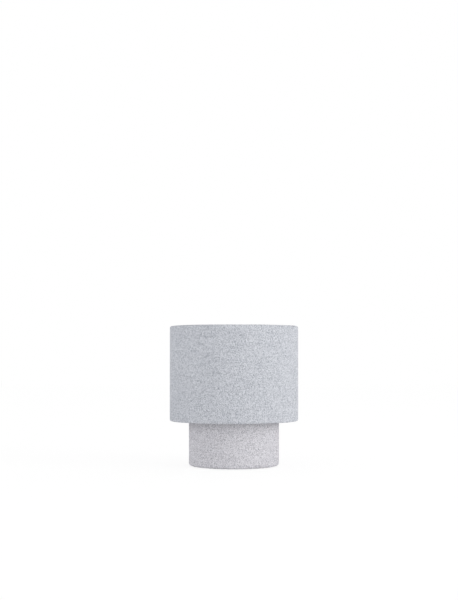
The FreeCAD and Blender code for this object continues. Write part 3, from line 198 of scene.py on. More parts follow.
def make_piece(name: str, shells: Sequence[Shell], body: Body, finish: "Finish",
               replaces: Sequence[str], crease: Crease = Crease.PLAIN,
               is_sheet: bool = False) -> bpy.types.Object:
    """Make a smooth piece from grids of points and let it ride on its body.

    Args:
        name: Name of the piece.
        shells: Its surfaces.
        body: The rigid group that it moves with.
        finish: Its finish.
        replaces: Names of the solids that it stands for.
        crease: Which of its edges stay sharp.
        is_sheet: True where the surfaces are open and get their thickness afterwards.

    Returns:
        The finished object.
    """
    mesh = polygon_mesh(name, shells)
    work = bmesh.new()
    work.from_mesh(mesh)
    bmesh.ops.remove_doubles(work, verts=work.verts, dist=SAME_POINT)
    bmesh.ops.dissolve_degenerate(work, edges=work.edges, dist=NO_LENGTH)
    if not is_sheet:
        bmesh.ops.recalc_face_normals(work, faces=work.faces)
    work.to_mesh(mesh)
    work.free()
    mesh.polygons.foreach_set("use_smooth", np.ones(len(mesh.polygons), bool))
    mesh.set_sharp_from_angle(angle=math.radians(crease.value))
    piece = bpy.data.objects.new(name, mesh)
    bpy.context.scene.collection.objects.link(piece)
    mesh.materials.append(finish.material())
    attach(piece, body.value)
    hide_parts(*replaces)
    LOG.info("%s: %d faces on %s", name, len(mesh.polygons), body.value)
    return piece


def rounded(corners: Sequence[Sequence[float]], step: float = 0.004, turn: float = 12.0) -> np.ndarray:
    """Work out the points of an outline whose corners may be rounded.

    A corner with a radius becomes an arc that touches both lines: it starts and ends at the radius times the
    tangent of half the turn from the corner. Straight runs are divided evenly.

    Args:
        corners: Radius, height and, where the corner is rounded, its radius.
        step: Longest run between two points.
        turn: Largest turn between two points of an arc, in degrees.

    Returns:
        The points in order, one row of radius and height each.
    """
    spots = [np.array(corner[:2], float) for corner in corners]
    stops = []
    for index, corner in enumerate(corners):
        if len(corner) == 2 or index in (0, len(corners) - 1):
            stops.append(spots[index][None])
            continue
        before = spots[index] - spots[index - 1]
        after = spots[index + 1] - spots[index]
        room = BEND_ROOM * min(np.linalg.norm(before), np.linalg.norm(after))
        before, after = before / np.linalg.norm(before), after / np.linalg.norm(after)
        bend = math.atan2(before[0] * after[1] - before[1] * after[0], float(before @ after))
        reach = min(corner[2] * math.tan(abs(bend) / 2), room)
        radius = reach / math.tan(abs(bend) / 2)
        side = np.array([-before[1], before[0]]) * math.copysign(1, bend)
        centre = spots[index] - before * reach + side * radius
        count = max(2, math.ceil(math.degrees(abs(bend)) / turn))
        angles = np.linspace(0, bend, count + 1)[:, None]
        arm = -side * radius
        turned_arm = np.array([-arm[1], arm[0]])
        stops.append(centre + arm * np.cos(angles) + turned_arm * np.sin(angles))
    runs = [stops[0]]
    for last, following in zip(stops, stops[1:]):
        gap = np.linalg.norm(following[0] - last[-1])
        count = max(1, math.ceil(gap / step))
        shares = np.linspace(0, 1, count + 1)[1:-1, None]
        runs += [last[-1] + (following[0] - last[-1]) * shares, following]
    return np.concatenate(runs)


def closed(corners: Sequence[Sequence[float]], **steps: float) -> np.ndarray:
    """Work out a closed outline that starts and ends in the middle of its first side.

    Args:
        corners: Radius, height and, where the corner is rounded, its radius.
        steps: The step and turn that rounded() takes.

    Returns:
        The points in order, the last one equal to the first.
    """
    middle = [(corners[0][axis] + corners[-1][axis]) / 2 for axis in (0, 1)]
    return rounded([middle, *corners, middle], **steps)


def band(inner: float, outer: float, low: float, high: float, foot_edge: float, edge: float,
         **steps: float) -> np.ndarray:
    """Work out the closed section of a ring with a flat foot and top.

    Args:
        inner: Its inner radius.
        outer: Its outer radius.
        low: Height of its foot.
        high: Height of its top.
        foot_edge: Radius of both edges at its foot.
        edge: Radius of both edges at its top.
        steps: The step and turn that rounded() takes.

    Returns:
        The points in order, the last one equal to the first.
    """
    corners = [(inner, low, foot_edge), (outer, low, foot_edge), (outer, high, edge), (inner, high, edge)]
    return closed(corners, **steps)


def full_turn(steps: int) -> np.ndarray:
    """Return the angles of a full turn in even steps, with both its ends."""
    return np.linspace(0, FULL_TURN, steps + 1)


def round_axis(radius: Numbers, angle: Numbers, height: Numbers) -> np.ndarray:
    """Place points round the Z axis, each at (radius cos angle, radius sin angle, height).

    Args:
        radius: Distances from the axis.
        angle: Angles in radians.
        height: Heights.

    Returns:
        The points, in the shape that the three broadcast to.
    """
    places = np.broadcast_arrays(radius * np.cos(angle), radius * np.sin(angle), height)
    return np.stack(places, axis=-1)


def revolved(outline: np.ndarray, columns: int) -> np.ndarray:
    """Carry an outline once round the Z axis.

    Args:
        outline: Radii and heights.
        columns: Number of steps round the axis.

    Returns:
        A grid of points, the last column equal to the first.
    """
    angles = full_turn(columns)[None, :]
    return round_axis(outline[:, 0, None], angles, outline[:, 1, None])


def ripple(angle: np.ndarray, along: np.ndarray, waves: Sequence[Wave], seed: int) -> np.ndarray:
    """Add up smooth waves that run round the axis and drift along the section.

    Each wave is its size times sin(count angle + drift along + phase). The phases come from the seed.

    Args:
        angle: Angles round the axis in radians.
        along: Lengths along the section.
        waves: Count round the axis, drift in radians per metre, and size of each wave.
        seed: Seed of the phases.

    Returns:
        The sum, in the shape that angle and along broadcast to.
    """
    draw = np.random.default_rng(seed)
    total = 0 * angle + 0 * along
    for count, drift, size in waves:
        total = total + size * np.sin(count * angle + drift * along + draw.uniform(0, FULL_TURN))
    return total


def smooth_step(share: np.ndarray) -> np.ndarray:
    """Rise from 0 to 1, level at both ends, as share squared times 3 less twice the share."""
    share = np.clip(share, 0, 1)
    return share * share * (3 - 2 * share)


def smooth_curve(at: np.ndarray, knots: np.ndarray, values: np.ndarray) -> np.ndarray:
    """Draw a smooth curve through values at knots.

    Between two knots it is the cubic that has the values there, with slopes that follow from the neighbours.

    Args:
        at: Where the curve is read.
        knots: Where it is given, in rising order.
        values: What it is there.

    Returns:
        The curve's values.
    """
    slopes = np.gradient(values, knots)
    index = np.clip(np.searchsorted(knots, at, side="right") - 1, 0, len(knots) - 2)
    gap = knots[index + 1] - knots[index]
    part = (at - knots[index]) / gap
    first = (1 + 2 * part) * (1 - part) ** 2 * values[index] + part * (1 - part) ** 2 * gap * slopes[index]
    second = part ** 2 * (3 - 2 * part) * values[index + 1] + part ** 2 * (part - 1) * gap * slopes[index + 1]
    return first + second


def carried(path: np.ndarray, radii: np.ndarray, sides: int) -> np.ndarray:
    """Carry a circle along a path that lies in one upright plane through the Z axis.

    The circle's two axes are the plane's own normal and that normal crossed with the path's direction.

    Args:
        path: Points of the path.
        radii: Radius of the circle at each point, 0 to close an end.
        sides: Number of steps round the circle.

    Returns:
        A grid of points.
    """
    along = np.gradient(path, axis=0)
    along /= np.linalg.norm(along, axis=1, keepdims=True)
    across = np.cross(path[0] * (1, 1, 0), (0, 0, 1))
    across = across / np.linalg.norm(across)
    upward = np.cross(across, along)
    angles = full_turn(sides)
    ring = np.cos(angles)[None, :, None] * across + np.sin(angles)[None, :, None] * upward[:, None, :]
    return path[:, None, :] + radii[:, None, None] * ring


def bead(centre: Sequence[float], azimuth: float, halves: Sequence[float], scales: int,
         swell: float = 0.08) -> np.ndarray:
    """Make a short run of weld.

    An ellipsoid with its three half lengths along, across and up, turned to the azimuth. The ripples of the
    weld are a wave along it.

    Args:
        centre: Middle of the lump.
        azimuth: Direction of its length, in degrees.
        halves: Half of its length, width and height.
        scales: Number of waves along it.
        swell: Size of the waves as a share of the width and height.

    Returns:
        A grid of points, closed at both ends.
    """
    rows = np.linspace(0, math.pi, WELD_ROWS * scales)[:, None]
    angles = full_turn(WELD_SIDES)[None, :]
    wave = 1 + swell * np.cos(scales * 2 * rows)
    along = -np.cos(rows) * halves[0] + 0 * angles
    across = np.sin(rows) * np.cos(angles) * halves[1] * wave
    upward = np.sin(rows) * np.sin(angles) * halves[2] * wave
    turn = math.radians(azimuth)
    x = along * math.cos(turn) - across * math.sin(turn)
    y = along * math.sin(turn) + across * math.cos(turn)
    return np.stack([x, y, upward], axis=-1) + np.array(centre)


# Node trees and shared effects


class Tree:
    """Adds nodes to one node tree and joins them."""

    def __init__(self, tree: bpy.types.NodeTree) -> None:
        """Keep the tree."""
        self.tree = tree

    def node(self, kind: str, inputs: dict[str | int, Value] | None = None,
             **settings: object) -> bpy.types.Node:
        """Add a node.

        Args:
            kind: Blender's name of the node.
            inputs: Sockets to join to, or numbers to set, by the name or number of the input.
            settings: Properties of the node.

        Returns:
            The node.
        """
        made = self.tree.nodes.new(kind)
        for key, setting in settings.items():
            setattr(made, key, setting)
        self.feed_all(made.inputs, inputs or {})
        return made

    def feed(self, socket: bpy.types.NodeSocket, given: Value) -> None:
        """Join a socket to another, or set its own number or colour.

        Args:
            socket: The input.
            given: An output, a number or a colour.
        """
        if isinstance(given, bpy.types.NodeSocket):
            self.tree.links.new(given, socket)
        elif isinstance(given, (int, float)):
            socket.default_value = given
        else:
            size = len(socket.default_value)
            socket.default_value = (*given, 1.0)[:size]

    def feed_all(self, sockets: bpy.types.NodeInputs, inputs: dict[str | int, Value]) -> None:
        """Join or set several sockets, each by its name or number."""
        for key, given in inputs.items():
            self.feed(sockets[key], given)

    def effect(self, effect: "Effect", inputs: dict[str, Value]) -> bpy.types.NodeOutputs:
        """Place the node group of a shared effect and return its outputs."""
        return self.node("ShaderNodeGroup", inputs, node_tree=effect.group()).outputs

    def math(self, operation: str, *values: Value, clamp: bool = False) -> bpy.types.NodeSocket:
        """Add a Math node.

        Args:
            operation: What it works out.
            values: Its inputs in order.
            clamp: True to keep the result from 0 to 1.

        Returns:
            Its output.
        """
        made = self.node("ShaderNodeMath", dict(enumerate(values)), operation=operation, use_clamp=clamp)
        return made.outputs[0]

    def times(self, first: Value, second: Value) -> bpy.types.NodeSocket:
        """Multiply two numbers."""
        return self.math("MULTIPLY", first, second)

    def vector(self, x: Value, y: Value, z: Value) -> bpy.types.NodeSocket:
        """Join three numbers into a vector."""
        return self.node("ShaderNodeCombineXYZ", {0: x, 1: y, 2: z}).outputs[0]

    def parts(self, vector: Value) -> bpy.types.NodeOutputs:
        """Take a vector apart into its three numbers."""
        return self.node("ShaderNodeSeparateXYZ", {0: vector}).outputs

    def noise(self, vector: Value, scale: Value, detail: float,
              roughness: float = 0.5) -> bpy.types.NodeSocket:
        """Add a Noise node.

        Args:
            vector: Where it is read.
            scale: Waves in a unit of that vector.
            detail: Octaves past the first.
            roughness: Share of each octave in the one before.

        Returns:
            Its value, about 0.5 on average.
        """
        inputs = {"Vector": vector, "Scale": scale, "Detail": detail, "Roughness": roughness}
        return self.node("ShaderNodeTexNoise", inputs).outputs["Fac"]

    def spread(self, given: Value, low: float, high: float, to_low: float = 0.0,
               to_high: float = 1.0) -> bpy.types.NodeSocket:
        """Stretch a range of numbers over another and cut what lies past it.

        Args:
            given: The number.
            low: Lowest number of the range.
            high: Highest number of the range.
            to_low: What the lowest becomes.
            to_high: What the highest becomes.

        Returns:
            The new number.
        """
        inputs = dict(enumerate((given, low, high, to_low, to_high)))
        return self.node("ShaderNodeMapRange", inputs, clamp=True).outputs[0]

    def mix(self, share: Value, first: Value, second: Value) -> bpy.types.NodeSocket:
        """Mix two colours.

        Args:
            share: Share of the second one.
            first: First colour.
            second: Second colour.

        Returns:
            The mixed colour.
        """
        inputs = dict(zip(MIX_INPUTS, (share, first, second)))
        return self.node("ShaderNodeMix", inputs, data_type="RGBA").outputs[MIX_OUTPUT]


def start_group(name: str, takes: dict[str, Kind],
                gives: dict[str, Kind]) -> tuple[Tree, bpy.types.NodeOutputs, bpy.types.NodeInputs]:
    """Start a shader node group.

    Args:
        name: Name of the group.
        takes: Kind of each input by its name.
        gives: Kind of each output by its name.

    Returns:
        The tree, the sockets that it takes and the sockets that it gives.
    """
    group = bpy.data.node_groups.new(name, "ShaderNodeTree")
    for sockets, way in ((takes, "INPUT"), (gives, "OUTPUT")):
        for title, kind in sockets.items():
            group.interface.new_socket(title, in_out=way, socket_type=kind.value)
    tree = Tree(group)
    return tree, tree.node("NodeGroupInput").outputs, tree.node("NodeGroupOutput").inputs


@dataclass(frozen=True)
class Effect:
    """A pattern that several materials share, as one node group."""

    name: str

    def group(self) -> bpy.types.NodeTree:
        """Return the node group, made on its first use."""
        return bpy.data.node_groups.get(self.name) or self.build()

    def build(self) -> bpy.types.NodeTree:
        """Make the node group. A subclass says how."""
        raise NotImplementedError


@dataclass(frozen=True)
class MelangeWeave(Effect):
    """Plain weave of yarns that are spun from fibres of several greys.

    The place is counted in yarns as u and v, each moved by a noise that bends the yarns a little. The warp
    yarn number floor(u) stands at its crimp times cos(pi (v - 1/2 + floor(u))) plus its own round, which is
    1 - (2 fract(u) - 1) squared. The weft yarn stands likewise with u and v swapped and half a wave later.
    The higher yarn shows. Its grey is a noise that changes slowly along it and jumps from yarn to yarn. Every
    scale and wander is counted in yarns.
    """

    wander_scale: float = 0.45
    wander_detail: float = 1.0
    wander: float = 1.1
    crimp: float = 0.6
    yarn_jump: float = 5.3
    grey_scale: float = 0.75
    grey_detail: float = 2.0
    grey_roughness: float = 0.65
    warp_seed: float = 1.7
    weft_seed: float = 9.1
    slub_scale: float = 0.035
    slub_across: float = 0.7
    slub_seed: float = 4.0
    slub_detail: float = 1.0
    fibre_scale: float = 3.0
    fibre_detail: float = 2.0
    fibre_grey: float = 0.6
    darkest: float = 0.34
    lightest: float = 0.57
    valley: float = 0.1
    crown: float = 1.3
    # Painted shade: the grey's share is scaled from the valley level between yarns up to the valley and crown
    # levels added on the yarns' crowns
    painted_valley_light: float = 0.5
    painted_crown_light: float = 0.6
    fuzz: float = 1.6
    relief: float = 0.1
    roughness: float = 0.88
    roughness_change: float = 0.2

    def yarns(self, tree: Tree, along: Value, across: Value, shift: float,
              seed: float) -> tuple[Value, Value]:
        """Work out the yarns that run one way.

        Args:
            tree: The group's tree.
            along: Place along the yarns.
            across: Place across them.
            shift: What their wave starts with, in half waves.
            seed: Where their greys are read.

        Returns:
            Their height and their grey.
        """
        number = tree.math("FLOOR", across)
        side = tree.math("MULTIPLY_ADD", tree.math("FRACT", across), 2.0, -1.0)
        crown = tree.math("SUBTRACT", 1.0, tree.times(side, side))
        wave = tree.times(tree.math("ADD", tree.math("ADD", along, number), shift), math.pi)
        height = tree.math("MULTIPLY_ADD", tree.math("COSINE", wave), self.crimp, crown)
        jump = tree.times(number, self.yarn_jump)
        run = tree.times(along, self.grey_scale)
        grey = tree.noise(tree.vector(jump, run, seed), 1.0, self.grey_detail, self.grey_roughness)
        return height, grey

    def build(self) -> bpy.types.NodeTree:
        """Make the node group.

        Returns:
            The node group.
        """
        takes = {
            "Place": Kind.PLACE,
            "Yarn": Kind.NUMBER,
            "Dark": Kind.COLOUR,
            "Light": Kind.COLOUR,
            "Slub": Kind.NUMBER,
        }
        gives = {"Color": Kind.COLOUR, "Height": Kind.NUMBER, "Roughness": Kind.NUMBER}
        tree, given, result = start_group(self.name, takes, gives)
        scaled = tree.node("ShaderNodeVectorMath", {0: given["Place"]}, operation="SCALE")
        tree.feed(scaled.inputs["Scale"], tree.math("DIVIDE", 1.0, given["Yarn"]))
        counted = scaled.outputs[0]
        inputs = {"Vector": counted, "Scale": self.wander_scale, "Detail": self.wander_detail}
        wander = tree.node("ShaderNodeTexNoise", inputs).outputs["Color"]
        inputs = {0: wander, 1: (self.wander, self.wander, 0.0), 2: counted}
        wandered = tree.node("ShaderNodeVectorMath", inputs, operation="MULTIPLY_ADD")
        u, v, _ = tree.parts(wandered.outputs[0])
        warp_height, warp_grey = self.yarns(tree, v, u, -0.5, self.warp_seed)
        weft_height, weft_grey = self.yarns(tree, u, v, 0.5, self.weft_seed)
        warp_shows = tree.math("GREATER_THAN", warp_height, weft_height)
        grey = tree.math("MULTIPLY_ADD", warp_shows, tree.math("SUBTRACT", warp_grey, weft_grey), weft_grey)
        run = tree.times(u, self.slub_scale)
        row = tree.times(v, self.slub_across)
        slub = tree.noise(tree.vector(run, row, self.slub_seed), 1.0, self.slub_detail)
        slub = tree.math("SUBTRACT", slub, 0.5)
        fibre = tree.noise(counted, self.fibre_scale, self.fibre_detail)
        fibre = tree.math("SUBTRACT", fibre, 0.5)
        grey = tree.math("MULTIPLY_ADD", slub, given["Slub"], grey)
        grey = tree.math("MULTIPLY_ADD", fibre, self.fibre_grey, grey)
        height = tree.math("MAXIMUM", warp_height, weft_height)
        # Painted shade between the yarns: the colour is darkened in the valleys and lightened on the crowns
        # by the yarns' height
        crown = tree.spread(height, self.valley, self.crown)
        light = tree.math("MULTIPLY_ADD", crown, self.painted_crown_light, self.painted_valley_light)
        share = tree.math("MULTIPLY", tree.spread(grey, self.darkest, self.lightest), light, clamp=True)
        tree.feed(result["Color"], tree.mix(share, given["Dark"], given["Light"]))
        fuzz = tree.math("MULTIPLY_ADD", fibre, self.fuzz, height)
        relief = tree.times(given["Yarn"], self.relief)
        tree.feed(result["Height"], tree.times(fuzz, relief))
        roughness = tree.math("MULTIPLY_ADD", fibre, self.roughness_change, self.roughness)
        tree.feed(result["Roughness"], roughness)
        return tree.tree


@dataclass(frozen=True)
class SoftMottle(Effect):
    """Two sizes of soft cloudy variation.

    A coarse noise and a finer one, added in their shares and spread from 0 to 1.
    """

    finer: float = 3.1
    coarse_detail: float = 2.0
    fine_detail: float = 3.0
    coarse_share: float = 0.65
    fine_share: float = 0.35

    def build(self) -> bpy.types.NodeTree:
        """Make the node group.

        Returns:
            The node group.
        """
        takes = {"Place": Kind.PLACE, "Scale": Kind.NUMBER}
        tree, given, result = start_group(self.name, takes, {"Mask": Kind.NUMBER})
        coarse = tree.noise(given["Place"], given["Scale"], self.coarse_detail)
        scale = tree.times(given["Scale"], self.finer)
        fine = tree.noise(given["Place"], scale, self.fine_detail)
        total = tree.times(coarse, self.coarse_share)
        total = tree.math("MULTIPLY_ADD", fine, self.fine_share, total)
        tree.feed(result["Mask"], tree.spread(total, *NOISE_RANGE))
        return tree.tree


@dataclass(frozen=True)
class FineGrain(Effect):
    """Fine skin of a moulded or painted surface.

    The height is a noise of the given size plus a share of a finer one, times the depth.
    """

    finer: float = 5.0
    detail: float = 1.0
    fine_share: float = 0.1

    def build(self) -> bpy.types.NodeTree:
        """Make the node group.

        Returns:
            The node group.
        """
        takes = {"Place": Kind.PLACE, "Size": Kind.NUMBER, "Depth": Kind.NUMBER}
        tree, given, result = start_group(self.name, takes, {"Height": Kind.NUMBER, "Mask": Kind.NUMBER})
        scale = tree.math("DIVIDE", 1.0, given["Size"])
        coarse = tree.noise(given["Place"], scale, self.detail)
        fine = tree.noise(given["Place"], tree.times(scale, self.finer), self.detail)
        total = tree.math("MULTIPLY_ADD", fine, self.fine_share, coarse)
        tree.feed(result["Height"], tree.times(total, given["Depth"]))
        tree.feed(result["Mask"], tree.spread(coarse, *NOISE_RANGE))
        return tree.tree


@dataclass(frozen=True)
class TurningRings(Effect):
    """Rings that a tool leaves on a turned or spun surface.

    The radius is the root of x squared plus y squared, and the rings are a noise read along the radius and
    the height, with a little of x.
    """

    drift: float = 40.0
    ring_detail: float = 2.0
    ring_roughness: float = 0.6

    def build(self) -> bpy.types.NodeTree:
        """Make the node group.

        Returns:
            The node group.
        """
        takes = {"Place": Kind.PLACE, "Pitch": Kind.NUMBER, "Depth": Kind.NUMBER}
        tree, given, result = start_group(self.name, takes, {"Height": Kind.NUMBER, "Mask": Kind.NUMBER})
        x, y, z = tree.parts(given["Place"])
        radius = tree.math("SQRT", tree.math("ADD", tree.times(x, x), tree.times(y, y)))
        pitch = tree.math("DIVIDE", 1.0, given["Pitch"])
        across, up = (tree.times(part, pitch) for part in (radius, z))
        spot = tree.vector(across, up, tree.times(x, self.drift))
        rings = tree.noise(spot, 1.0, self.ring_detail, self.ring_roughness)
        tree.feed(result["Height"], tree.times(rings, given["Depth"]))
        tree.feed(result["Mask"], tree.spread(rings, *NOISE_RANGE))
        return tree.tree


WEAVE = MelangeWeave("melange_weave")
MOTTLE = SoftMottle("soft_mottle")
FINE_GRAIN = FineGrain("fine_grain")
RINGS = TurningRings("turning_rings")


# Finishes


class FinishTree(Tree):
    """Tree of a finish's material, with its shader's inputs and the place on the piece."""

    def __init__(self, material: bpy.types.Material) -> None:
        """Start the tree.

        Args:
            material: The material.
        """
        material.use_nodes = True
        material.node_tree.nodes.clear()
        super().__init__(material.node_tree)
        shader = self.node("ShaderNodeBsdfPrincipled")
        self.node("ShaderNodeOutputMaterial", {"Surface": shader.outputs[0]})
        self.shader = shader.inputs
        self.place = self.node("ShaderNodeTexCoord").outputs["Object"]

    def show(self, inputs: dict[str, Value]) -> None:
        """Join or set inputs of the shader, each by its name."""
        self.feed_all(self.shader, inputs)


@dataclass(frozen=True)
class Finish:
    """A material with its own nodes. Its subclasses say how it looks."""

    name: str
    base: Colour
    roughness: float = 0.5

    @functools.cache
    def material(self) -> bpy.types.Material:
        """Make the material on its first use.

        Returns:
            The material.
        """
        made = bpy.data.materials.new(self.name)
        tree = FinishTree(made)
        tree.show({"Base Color": self.base, "Roughness": self.roughness})
        self.dress(tree)
        return made

    def dress(self, tree: FinishTree) -> None:
        """Join the finish's own nodes to the shader. A subclass says how."""
        raise NotImplementedError

    def toned(self, share: float) -> Colour:
        """Return the base colour times a share, with no part over 1."""
        return tuple(min(1.0, part * share) for part in self.base)

    def mottled(self, tree: FinishTree, size: float, change: float) -> bpy.types.NodeSocket:
        """Return the base colour with soft patches that are lighter and darker.

        Args:
            tree: The material's tree.
            size: Size of a patch.
            change: How much lighter and darker they are, as a share.

        Returns:
            The colour.
        """
        mask = tree.effect(MOTTLE, {"Place": tree.place, "Scale": 1 / size})["Mask"]
        return tree.mix(mask, self.toned(1 - change), self.toned(1 + change))

    def roughened(self, tree: FinishTree, mask: Value, change: float, lowest: float = 0.0,
                  highest: float = 1.0) -> None:
        """Let the roughness follow a mask.

        Args:
            tree: The material's tree.
            mask: What it follows.
            change: How far it goes below and above the finish's own roughness, as a share.
            lowest: Lowest number of the mask.
            highest: Highest number of the mask.
        """
        smooth, rough = self.roughness * (1 - change), min(1.0, self.roughness * (1 + change))
        tree.show({"Roughness": tree.spread(mask, lowest, highest, smooth, rough)})

    def raised(self, tree: FinishTree, height: Value, strength: float = 1.0) -> None:
        """Join a height in metres to the shader's normal.

        Args:
            tree: The material's tree.
            height: The height.
            strength: Strength of the bump.
        """
        bump = tree.node("ShaderNodeBump", {"Height": height, "Strength": strength, "Distance": 1.0})
        tree.show({"Normal": bump.outputs[0]})

    def lit_inside(self, tree: FinishTree, share: float, reach: Colour) -> None:
        """Let light sink in and spread.

        Args:
            tree: The material's tree.
            share: Share of the light that sinks in.
            reach: How far its red, green and blue spread.
        """
        tree.show({"Subsurface Weight": share, "Subsurface Radius": reach, "Subsurface Scale": 1.0})


@dataclass(frozen=True)
class ClothFinish(Finish):
    """Melange cloth. The base is its light yarn."""

    dark: Colour = (0.3, 0.3, 0.3)
    yarn: float = 0.0009
    slub: float = 0.12
    shine: float = 0.08
    sheen: float = 0.02
    sheen_roughness: float = 0.6
    bump: float = 0.6

    def dress(self, tree: FinishTree) -> None:
        """Weave it along its own map, with a soft fuzz.

        Args:
            tree: The material's tree.
        """
        on_cloth = tree.node("ShaderNodeUVMap", uv_map=CLOTH_MAP).outputs[0]
        inputs = {"Yarn": self.yarn, "Dark": self.dark, "Light": self.base, "Slub": self.slub}
        weave = tree.effect(WEAVE, {"Place": on_cloth, **inputs})
        tree.show({
            "Base Color": weave["Color"],
            "Roughness": weave["Roughness"],
            "Specular IOR Level": self.shine,
            "Sheen Weight": self.sheen,
            "Sheen Roughness": self.sheen_roughness,
        })
        self.raised(tree, weave["Height"], self.bump)


@dataclass(frozen=True)
class FeltFinish(Finish):
    """Needled felt with fibres that lie every way."""

    fibre: float = 0.0006
    fibre_detail: float = 3.0
    fibre_roughness: float = 0.7
    directions: tuple[tuple[float, float], ...] = ((0.15, 1.0), (1.0, 0.15), (0.5, -0.6))
    # Painted shade and painted highlight: the lowest fibres take the shadow share of the colour and the
    # highest the light share
    shadow: float = 0.55
    light: float = 1.5
    lowest: float = 0.4
    highest: float = 0.75
    sheen: float = 0.4

    def dress(self, tree: FinishTree) -> None:
        """Lay three noises stretched along X, Y and a slanting line over each other.

        Args:
            tree: The material's tree.
        """
        x, y, z = tree.parts(tree.place)
        layers = []
        for along, across in self.directions:
            first = tree.math("MULTIPLY_ADD", x, along, tree.times(y, 1 - abs(along)))
            second = tree.math("MULTIPLY_ADD", y, across, tree.times(x, across))
            spot = tree.vector(first, second, z)
            layers.append(tree.noise(spot, 1 / self.fibre, self.fibre_detail, self.fibre_roughness))
        height = tree.math("MAXIMUM", tree.math("MAXIMUM", layers[0], layers[1]), layers[2])
        # Painted shade in the dips and painted highlight on the tops, following the fibres' height
        mask = tree.spread(height, self.lowest, self.highest)
        colour = tree.mix(mask, self.toned(self.shadow), self.toned(self.light))
        tree.show({"Base Color": colour, "Sheen Weight": self.sheen})
        self.raised(tree, tree.times(height, self.fibre))


@dataclass(frozen=True)
class SkinFinish(Finish):
    """Painted, moulded or laminated surface."""

    grain: Grain = Grain.SATIN
    size: float = 0.0008
    patch: float = 0.03
    change: float = 0.04
    roughness_change: float = 0.12
    metal: float = 0.0
    coat: float = 0.0
    coat_roughness: float = 0.15
    clear: float = 0.0
    inner_light: float = 0.0
    reach: Colour = (0.004, 0.0025, 0.0015)

    def dress(self, tree: FinishTree) -> None:
        """Give it soft patches of colour, a fine grain and a roughness that follows the grain.

        Args:
            tree: The material's tree.
        """
        depth = self.size * self.grain.value
        grain = tree.effect(FINE_GRAIN, {"Place": tree.place, "Size": self.size, "Depth": depth})
        tree.show({
            "Base Color": self.mottled(tree, self.patch, self.change),
            "Metallic": self.metal,
            "Coat Weight": self.coat,
            "Coat Roughness": self.coat_roughness,
            "Transmission Weight": self.clear,
        })
        self.roughened(tree, grain["Mask"], self.roughness_change)
        self.lit_inside(tree, self.inner_light, self.reach)
        self.raised(tree, grain["Height"])


@dataclass(frozen=True)
class TurnedFinish(Finish):
    """Metal with the fine rings of its turning or spinning."""

    pitch: float = 0.0004
    depth: float = 0.000012
    metal: float = 1.0
    patch: float = 0.012
    change: float = 0.05
    roughness_change: float = 0.25

    def dress(self, tree: FinishTree) -> None:
        """Give it rings in height and roughness, and faint handling marks.

        Args:
            tree: The material's tree.
        """
        rings = tree.effect(RINGS, {"Place": tree.place, "Pitch": self.pitch, "Depth": self.depth})
        tree.show({"Base Color": self.mottled(tree, self.patch, self.change), "Metallic": self.metal})
        self.roughened(tree, rings["Mask"], self.roughness_change)
        self.raised(tree, rings["Height"])


@dataclass(frozen=True)
class PlatedFinish(Finish):
    """Plated metal with faint spangles and dull spots."""

    spangle: float = 0.003
    shadow: float = 0.85
    roughness_change: float = 0.2
    dent_scale: float = 900.0
    dent_detail: float = 3.0
    dent_depth: float = 0.00002

    def dress(self, tree: FinishTree) -> None:
        """Vary the colour and roughness from one crystal to the next.

        Args:
            tree: The material's tree.
        """
        crystals = tree.node("ShaderNodeTexVoronoi", {"Vector": tree.place, "Scale": 1 / self.spangle})
        tone = tree.parts(crystals.outputs["Color"])[0]
        tree.show({"Base Color": tree.mix(tone, self.toned(self.shadow), self.base), "Metallic": 1.0})
        self.roughened(tree, tone, self.roughness_change)
        dents = tree.noise(tree.place, self.dent_scale, self.dent_detail)
        self.raised(tree, tree.times(dents, self.dent_depth))


@dataclass(frozen=True)
class WaxFinish(Finish):
    """Poured wax with cloudy patches, a dull bloom and soft dents."""

    bloom: Colour = (0.9, 0.88, 0.82)
    bloom_scale: float = 160.0
    bloom_share: float = 0.35
    bloom_roughness: float = 0.55
    clean_roughness: float = 0.38
    patch: float = 0.02
    change: float = 0.05
    inner_light: float = 0.35
    reach: Colour = (0.006, 0.0035, 0.002)
    dent_scale: float = 120.0
    dent_detail: float = 3.0
    dent_depth: float = 0.0004
    pore_scale: float = 1500.0
    pore_detail: float = 2.0
    pore_depth: float = 0.00002

    def dress(self, tree: FinishTree) -> None:
        """Mix the bloom over the mottled wax and let light sink in.

        Args:
            tree: The material's tree.
        """
        mask = tree.effect(MOTTLE, {"Place": tree.place, "Scale": self.bloom_scale})["Mask"]
        share = tree.times(mask, self.bloom_share)
        wax = self.mottled(tree, self.patch, self.change)
        roughness = tree.spread(mask, 0.0, 1.0, self.clean_roughness, self.bloom_roughness)
        tree.show({"Base Color": tree.mix(share, wax, self.bloom), "Roughness": roughness})
        self.lit_inside(tree, self.inner_light, self.reach)
        dents = tree.noise(tree.place, self.dent_scale, self.dent_detail)
        height = tree.times(dents, self.dent_depth)
        pores = tree.noise(tree.place, self.pore_scale, self.pore_detail)
        self.raised(tree, tree.math("MULTIPLY_ADD", pores, self.pore_depth, height))


@dataclass(frozen=True)
class FoamFinish(Finish):
    """Foam rubber with small open cells."""

    cell: float = 0.0006
    # Painted shade: the colour falls to the shadow share in the pit of each cell, from the rim inward
    pit: float = 0.1
    rim: float = 0.6
    shadow: float = 0.4
    depth: float = 0.35

    def dress(self, tree: FinishTree) -> None:
        """Sink a pit in the middle of each cell.

        Args:
            tree: The material's tree.
        """
        cells = tree.node("ShaderNodeTexVoronoi", {"Vector": tree.place, "Scale": 1 / self.cell})
        # Painted shade in the pits of the cells
        rim = tree.spread(cells.outputs["Distance"], self.pit, self.rim)
        tree.show({"Base Color": tree.mix(rim, self.toned(self.shadow), self.base)})
        self.raised(tree, tree.times(rim, self.cell * self.depth))


